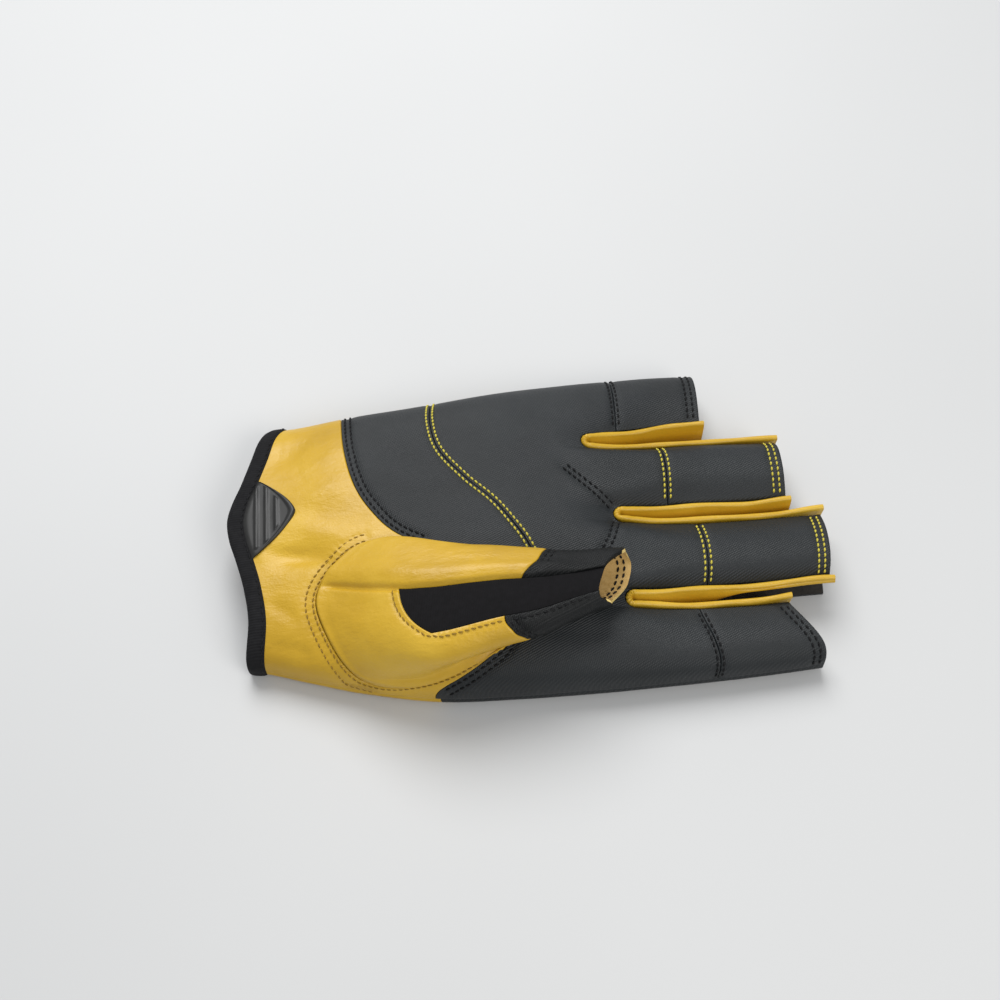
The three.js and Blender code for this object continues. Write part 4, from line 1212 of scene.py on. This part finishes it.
def make_thumb():
    *grid, insert_row, tip_row = thumb_grid([54, 64, 44])
    points = grid[0]
    stitch_rows = sew_thumb()
    row, column = np.indices((points.shape[0] - 1, points.shape[1]))
    is_insert = (row >= insert_row) & (column < INSERT_COLUMNS)
    is_tip = (row >= tip_row) & (column >= INSERT_COLUMNS)
    turn = np.mod(thumb_angles() - INSERT_FAR_ANGLE + 180, 360) - 180
    share = (points[..., 0] - THUMB_START) / THUMB_LENGTH

    def shape(places):
        # The far side rolls over a crease, which runs on as the insert's far edge.
        along = smoothstep(share / 0.06) * (1 - smoothstep((share - 0.74) / 0.1))
        roll = bell((turn + 13) / 8.5) * (turn < 0.1)
        settle = bell((turn - 9) / 12) * (turn > 0)
        relief = stitch_relief(places, stitch_rows, 0.9) + wobble(places, 24, 0.25, 11)
        return relief + along * (0.75 * roll - 1.1 * bell(turn / 2.4) - 0.35 * settle)

    def sunk(places):
        return wobble(places, 14, 0.2, 13) - 0.75

    keep = ~is_insert & ~is_tip
    panel = shell("thumb_panel", grid, keep, SOFT_LEATHER, YELLOW_SHEET, shape, 0.4, True, True)
    recolour(panel, (1, 2), 0, lambda x, angle: not 70 < angle < 140)
    place(panel, "thumb_panel")
    sheet = [THUMB_BLACK, TAN_SUEDE, CUT_EDGE]
    tip = shell("thumb_tip", grid, is_tip, SOFT_LEATHER, sheet, shape, 0.4, True, True)
    recolour(tip, (2,), 0, lambda x, angle: x < THUMB_START + thumb_end(angle) - 0.7)
    place(tip, "thumb_tip")
    insert = shell("thumb_insert", grid, is_insert, STRETCH_FABRIC, [STRETCH] * 3, sunk, 0.2, True)
    place(insert, "thumb_insert")


# The cuff, the patch and the strips between the fingers


def make_binding():
    """Folded tape round the cuff: thick at its folded edge, with its stitched edge inwards."""
    seam = 4.4
    profile = (
        *((4.9, -1.5), (2.6, -1.75), (0.8, -1.7), (0.2, -1.3), (0.0, -0.6), (0.1, 0.0)),
        *((0.5, 0.45), (1.2, 0.72), (2.2, 0.8), (3.4, 0.72), (seam, 0.55), (5.0, 0.32)),
        *((5.25, 0.02), (5.2, -0.3)),
    )

    def ring_at(shift):
        front, back = [
            np.concatenate([hand_points(side, c, curve_x(edge, side, c, shift)) for c in side.columns])
            for side, edge in ((FRONT, CUFF_EDGE), (BACK, BACK_CUFF_EDGE))
        ]
        return np.vstack([front, back[1:-1][::-1], front[:1]])

    s = lengths_along(ring_at(0.0))
    even = np.linspace(0, s[-1], 301)[:-1]
    rings = {shift: line_at(ring_at(shift), s, even) for shift in {p[0] for p in profile}}
    base = rings[0.0]
    across = np.roll(base, -1, 0) - np.roll(base, 1, 0)
    normal = np.cross(np.array([1.0, 0, 0]), across)
    normal[:, 0] = 0
    normal = unit(normal)
    # The seams at the sides turn sharply, so the normals are eased round them.
    for _ in range(6):
        normal = unit(normal + np.roll(normal, 1, 0) + np.roll(normal, -1, 0))
    sections = []
    for i in range(len(even)):
        swell = 1 + 0.05 * math.sin(i * 0.9) + 0.07 * math.sin(i * 0.37 + 1)
        section = []
        for shift, height in profile:
            lift = height * swell if height > 0 else height
            if base[i, 2] < 1.2:
                lift = min(lift, base[i, 2])
            section.append(rings[shift][i] + normal[i] * lift)
        sections.append(np.array(section))
    place(sweep("cuff_binding", sections, True, [TAPE]), "cuff_binding")
    half = len(even) // 2
    line = np.hstack([rings[seam][:half] + normal[:half] * 0.52, normal[:half]])
    sew(resample(line, 0.4), 2.0, 0.4, BLACK_THREAD, "binding_seam", 0)


def make_patch():
    """A plain rubber patch with a raised rim and three straight ribs."""
    rows, count = 44, 80
    rib_places, rib_half, relief_height = (3.5, 6.5, 9.5), 0.55, 0.35
    s = np.linspace(-1, 1, count + 1)
    y = PATCH_Y * PALM_WIDTH + s * PATCH_LENGTH / 2
    near_cuff = -GLOVE_LENGTH / 2 + BINDING_WIDTH
    middle, half, _ = hand_at(np.array(near_cuff))
    start = read(CUFF_EDGE, "x", (y - middle) / half, "y") * GLOVE_LENGTH + BINDING_WIDTH - 1.6
    tip = near_cuff + PATCH_DEPTH * (1 - np.abs(s) ** PATCH_POWER)
    end = np.maximum(tip, start + 0.9)
    x = np.array([lerp(start, end, r / rows) for r in range(rows + 1)])
    y = np.broadcast_to(y, x.shape)
    points = np.stack([x, y, palm_height(x, y) + 0.05], -1)
    normals = unit(np.cross(np.gradient(points, axis=0), np.gradient(points, axis=1)))
    share = np.linspace(0, 1, rows + 1)[:, None]
    aside = np.abs(s)[None, :]

    def shape(places):
        rim = np.maximum(smoothstep((share - 0.88) / 0.05), smoothstep((aside - 0.86) / 0.05))
        ribs = sum(np.exp(-(((x - near_cuff - at) / rib_half) ** 4)) for at in rib_places)
        inside = (share < 0.8) & (aside < 0.72)
        relief = PATCH_THICKNESS * 0.55 + relief_height * np.maximum(rim, ribs * inside)
        return (relief + wobble(places, 9, 0.12, 17)) * smoothstep((x - start) / 2.6)

    patch = shell("wrist_patch", (points, normals), whole(points), 0.02, [RUBBER] * 3, shape, 0.45)
    place(patch, "wrist_patch")


def fourchette_path(gap, steps, bend):
    """Its path from one finger's end down to the crotch and out again: x, y and the top's height."""
    crotch_x, crotch_y = crotch(gap)
    ends = finger_end(gap + 1, 0.0), finger_end(gap, 1.0)
    ends = [end + FOURCHETTE_OVERHANG for end in ends]
    columns = Column("finger", gap + 1, np.array([0.0])), Column("finger", gap, np.array([1.0]))

    def reach(x):
        return gap_half(gap, x) - SEAM_GAP * 0.4 - BEAD_RADIUS

    def top_at(x, side):
        return hand_points(FRONT, columns[side], np.array([x]))[0, 2] + BEAD_PROUD

    path = []
    for i in range(steps):
        x = float(lerp(ends[0], crotch_x, i / steps))
        path.append((x, gap_y(gap, x) + reach(x), top_at(x, 0)))
    for i in range(bend + 1):
        a, r = math.pi * (0.5 + i / bend), reach(crotch_x)
        top = lerp(top_at(crotch_x, 0), top_at(crotch_x, 1), i / bend)
        path.append((crotch_x + r * math.cos(a), crotch_y + r * math.sin(a), top))
    for i in range(1, steps + 1):
        x = float(lerp(crotch_x, ends[1], i / steps))
        path.append((x, gap_y(gap, x) - reach(x), top_at(x, 1)))
    return np.array(path, float), ends


def make_fourchette(gap):
    """A strip of leather with a rolled top edge, between two fingers."""
    steps, bend = 70, 26
    depths = (0.0, 0.2, 0.4, 0.55, 0.7, 0.82, 0.92, 0.98)
    path, ends = fourchette_path(gap, steps, bend)
    crotch_x = crotch(gap)[0]
    way = unit(np.gradient(path[:, :2], axis=0))
    sections = []
    for i, (x, y, top) in enumerate(path):
        first = i < steps
        bending = bell((i - steps - bend / 2) / (bend * 0.5))
        rise = 1.3 * smoothstep((x - ends[0 if first else 1] + 15) / 15)
        sag = 0.3 * math.sin(i * 0.13 + gap * 1.7) * (1 - bending)
        pucker = 0.3 * math.sin(i * 1.55 + gap) * bending
        top = top + rise + sag * 0.6 + pucker * 0.6
        thick = BEAD_RADIUS * (1 + 0.08 * math.sin(i * 0.31 + gap) + 0.25 * pucker)
        sway = 0.22 * math.sin(i * 0.17 + gap * 2) * (1 - bending)
        taper = smoothstep((x - crotch_x - 13) / 22) if gap == 0 and first else 0.0
        low, high = lerp(FOURCHETTE_LIFT, top - 2.3, taper), top - thick
        swell = 0.35 + 0.5 * bending
        if first:
            swell = 1.35 - 0.75 * smoothstep((x - crotch_x) / 45)

        def wall(t):
            lean = -swell * math.sin(math.pi * t) ** 0.8 + sway * t
            return lerp(SOFT_LEATHER / 2, thick, t * t), lean, lerp(low, high, t)

        sides = [wall(t) for t in depths]
        ring = [(half + lean, z) for half, lean, z in sides]
        for a in np.linspace(0, math.pi, 11):
            ring.append((thick * math.cos(a) + sway, high + thick * math.sin(a)))
        ring += [(lean - half, z) for half, lean, z in reversed(sides)]
        sections.append(np.array([(x + way[i, 1] * off, y - way[i, 0] * off, z) for off, z in ring]))
    name = f"fourchette_{FINGER_NAMES[gap]}_{FINGER_NAMES[gap + 1]}"
    place(sweep(name, sections, False, [YELLOW]), name)


def stitch_mesh(row, vertices, faces):
    """Adds a row's stitches to a mesh, each a short swelling tube that arches and slants."""
    ring, rings = 6, 5
    s = lengths_along(row.line)
    count = int(s[-1] / row.pitch)
    half = row.pitch * 0.41
    for i in range(count):
        middle = (i + 0.5) * s[-1] / count
        ends = line_at(row.line, s, np.array([middle - half, middle + half]))
        normal = unit(ends[:, 3:].mean(0))
        centre = ends[:, :3].mean(0) - normal * row.sink * 0.75
        way = ends[1, :3] - ends[0, :3]
        length = np.linalg.norm(way)
        way = unit(way)
        side = np.cross(way, normal)
        way, side = way + side * SLANT, side - way * SLANT
        base = len(vertices)
        for t in np.linspace(-1, 1, rings):
            swell = math.sqrt(max(0.0, 1 - abs(t) ** 3)) * 0.85 + 0.15
            arch = 0.16 * (1 - t * t)
            for a in np.linspace(0, 2 * math.pi, ring, endpoint=False):
                aside = side * math.cos(a) * row.width / 2 * swell
                above = normal * (math.sin(a) * row.width * 0.42 * swell + arch)
                vertices.append(centre + way * t * length / 2 + aside + above)
        for start in range(base, base + (rings - 1) * ring, ring):
            for k in range(ring):
                a, b = start + k, start + (k + 1) % ring
                faces.append([a, b, b + ring, a + ring])
        faces.append([base + k for k in range(ring)][::-1])
        faces.append([base + (rings - 1) * ring + k for k in range(ring)])


def make_stitches():
    """Every row of stitches, as one object for each group and thread."""
    groups = {}
    for row in STITCH_ROWS:
        groups.setdefault((row.group, row.thread.name), []).append(row)
    for (group, thread_name), rows in groups.items():
        vertices, faces = [], []
        for row in rows:
            stitch_mesh(row, vertices, faces)
        name = f"stitches_{group}_{thread_name}"
        place(new_object(name, vertices, faces, [rows[0].thread], smooth_angle=80))


sew_palm()
sew_root()
HAND_ROWS = list(STITCH_ROWS)
wrist_panel = make_palm_side()
cut(wrist_panel, make_plug())
place(wrist_panel, "wrist_panel")
make_back()
make_thumb()
make_binding()
make_patch()
for gap_number in range(3):
    make_fourchette(gap_number)
make_stitches()


# The floor, the light and the camera


def make_floor():
    size = 3.0
    corners = [(-size, -size, 0), (size, -size, 0), (size, size, 0), (-size, size, 0)]
    mesh = bpy.data.meshes.new("floor")
    mesh.from_pydata(corners, [], [(0, 1, 2, 3)])
    look = Look("pale_floor", Roughness=0.6)
    shade = look.noise(look.coordinates(), 3, 2)
    color = look.ramp(shade, (0.3, (0.545, 0.55, 0.55)), (0.7, (0.58, 0.585, 0.585)))
    mesh.materials.append(look.finish(Base_Color=color))
    floor = bpy.data.objects.new("floor", mesh)
    bpy.context.scene.collection.objects.link(floor)


def add_light(name, position, size, power, color):
    """A round soft light that points at the glove."""
    light = bpy.data.lights.new(name, "AREA")
    light.shape = "DISK"
    light.size = size
    light.energy = power
    light.color = color
    obj = bpy.data.objects.new(name, light)
    obj.location = position
    obj.rotation_euler = (-Vector(position)).to_track_quat("-Z", "Y").to_euler()
    bpy.context.scene.collection.objects.link(obj)


def add_world():
    world = bpy.data.worlds.new("soft_white")
    world.use_nodes = True
    background = world.node_tree.nodes["Background"]
    background.inputs["Color"].default_value = (0.95, 0.97, 1.0, 1)
    background.inputs["Strength"].default_value = 0.42
    bpy.context.scene.world = world
    bpy.context.scene.view_settings.view_transform = "Standard"


def add_camera():
    """The photograph's view: a point of the palm falls on its pixel in a frame of 1000 pixels."""
    azimuth, elevation = math.radians(-5), math.radians(60)
    distance, lens, sensor, frame_pixels = 0.405, 50.0, 36.0, 1000.0
    aim = Vector((-0.00248, -0.00956, 0.0108))
    aim_pixel = (522.0, 556.0)
    level = math.cos(elevation)
    back = Vector((math.sin(azimuth) * level, -math.cos(azimuth) * level, math.sin(elevation)))
    right = Vector((math.cos(azimuth), math.sin(azimuth), 0))
    up = back.cross(right)
    metres_per_pixel = distance * sensor / lens / frame_pixels
    across = (aim_pixel[0] - frame_pixels / 2) * metres_per_pixel
    above = -(aim_pixel[1] - frame_pixels / 2) * metres_per_pixel
    camera = bpy.data.cameras.new("camera")
    camera.lens = lens
    camera.sensor_width = sensor
    obj = bpy.data.objects.new("camera", camera)
    obj.matrix_world = Matrix((right, up, back)).transposed().to_4x4()
    obj.location = aim + back * distance - right * across - up * above
    bpy.context.scene.collection.objects.link(obj)
    bpy.context.scene.camera = obj


make_floor()
add_light("softbox", (-0.12, 0.55, 0.8), 0.7, 8.8, (1.0, 1.0, 1.0))
add_light("fill", (0.4, -0.5, 0.62), 0.5, 3.2, (1.0, 0.98, 0.95))
add_world()
add_camera()
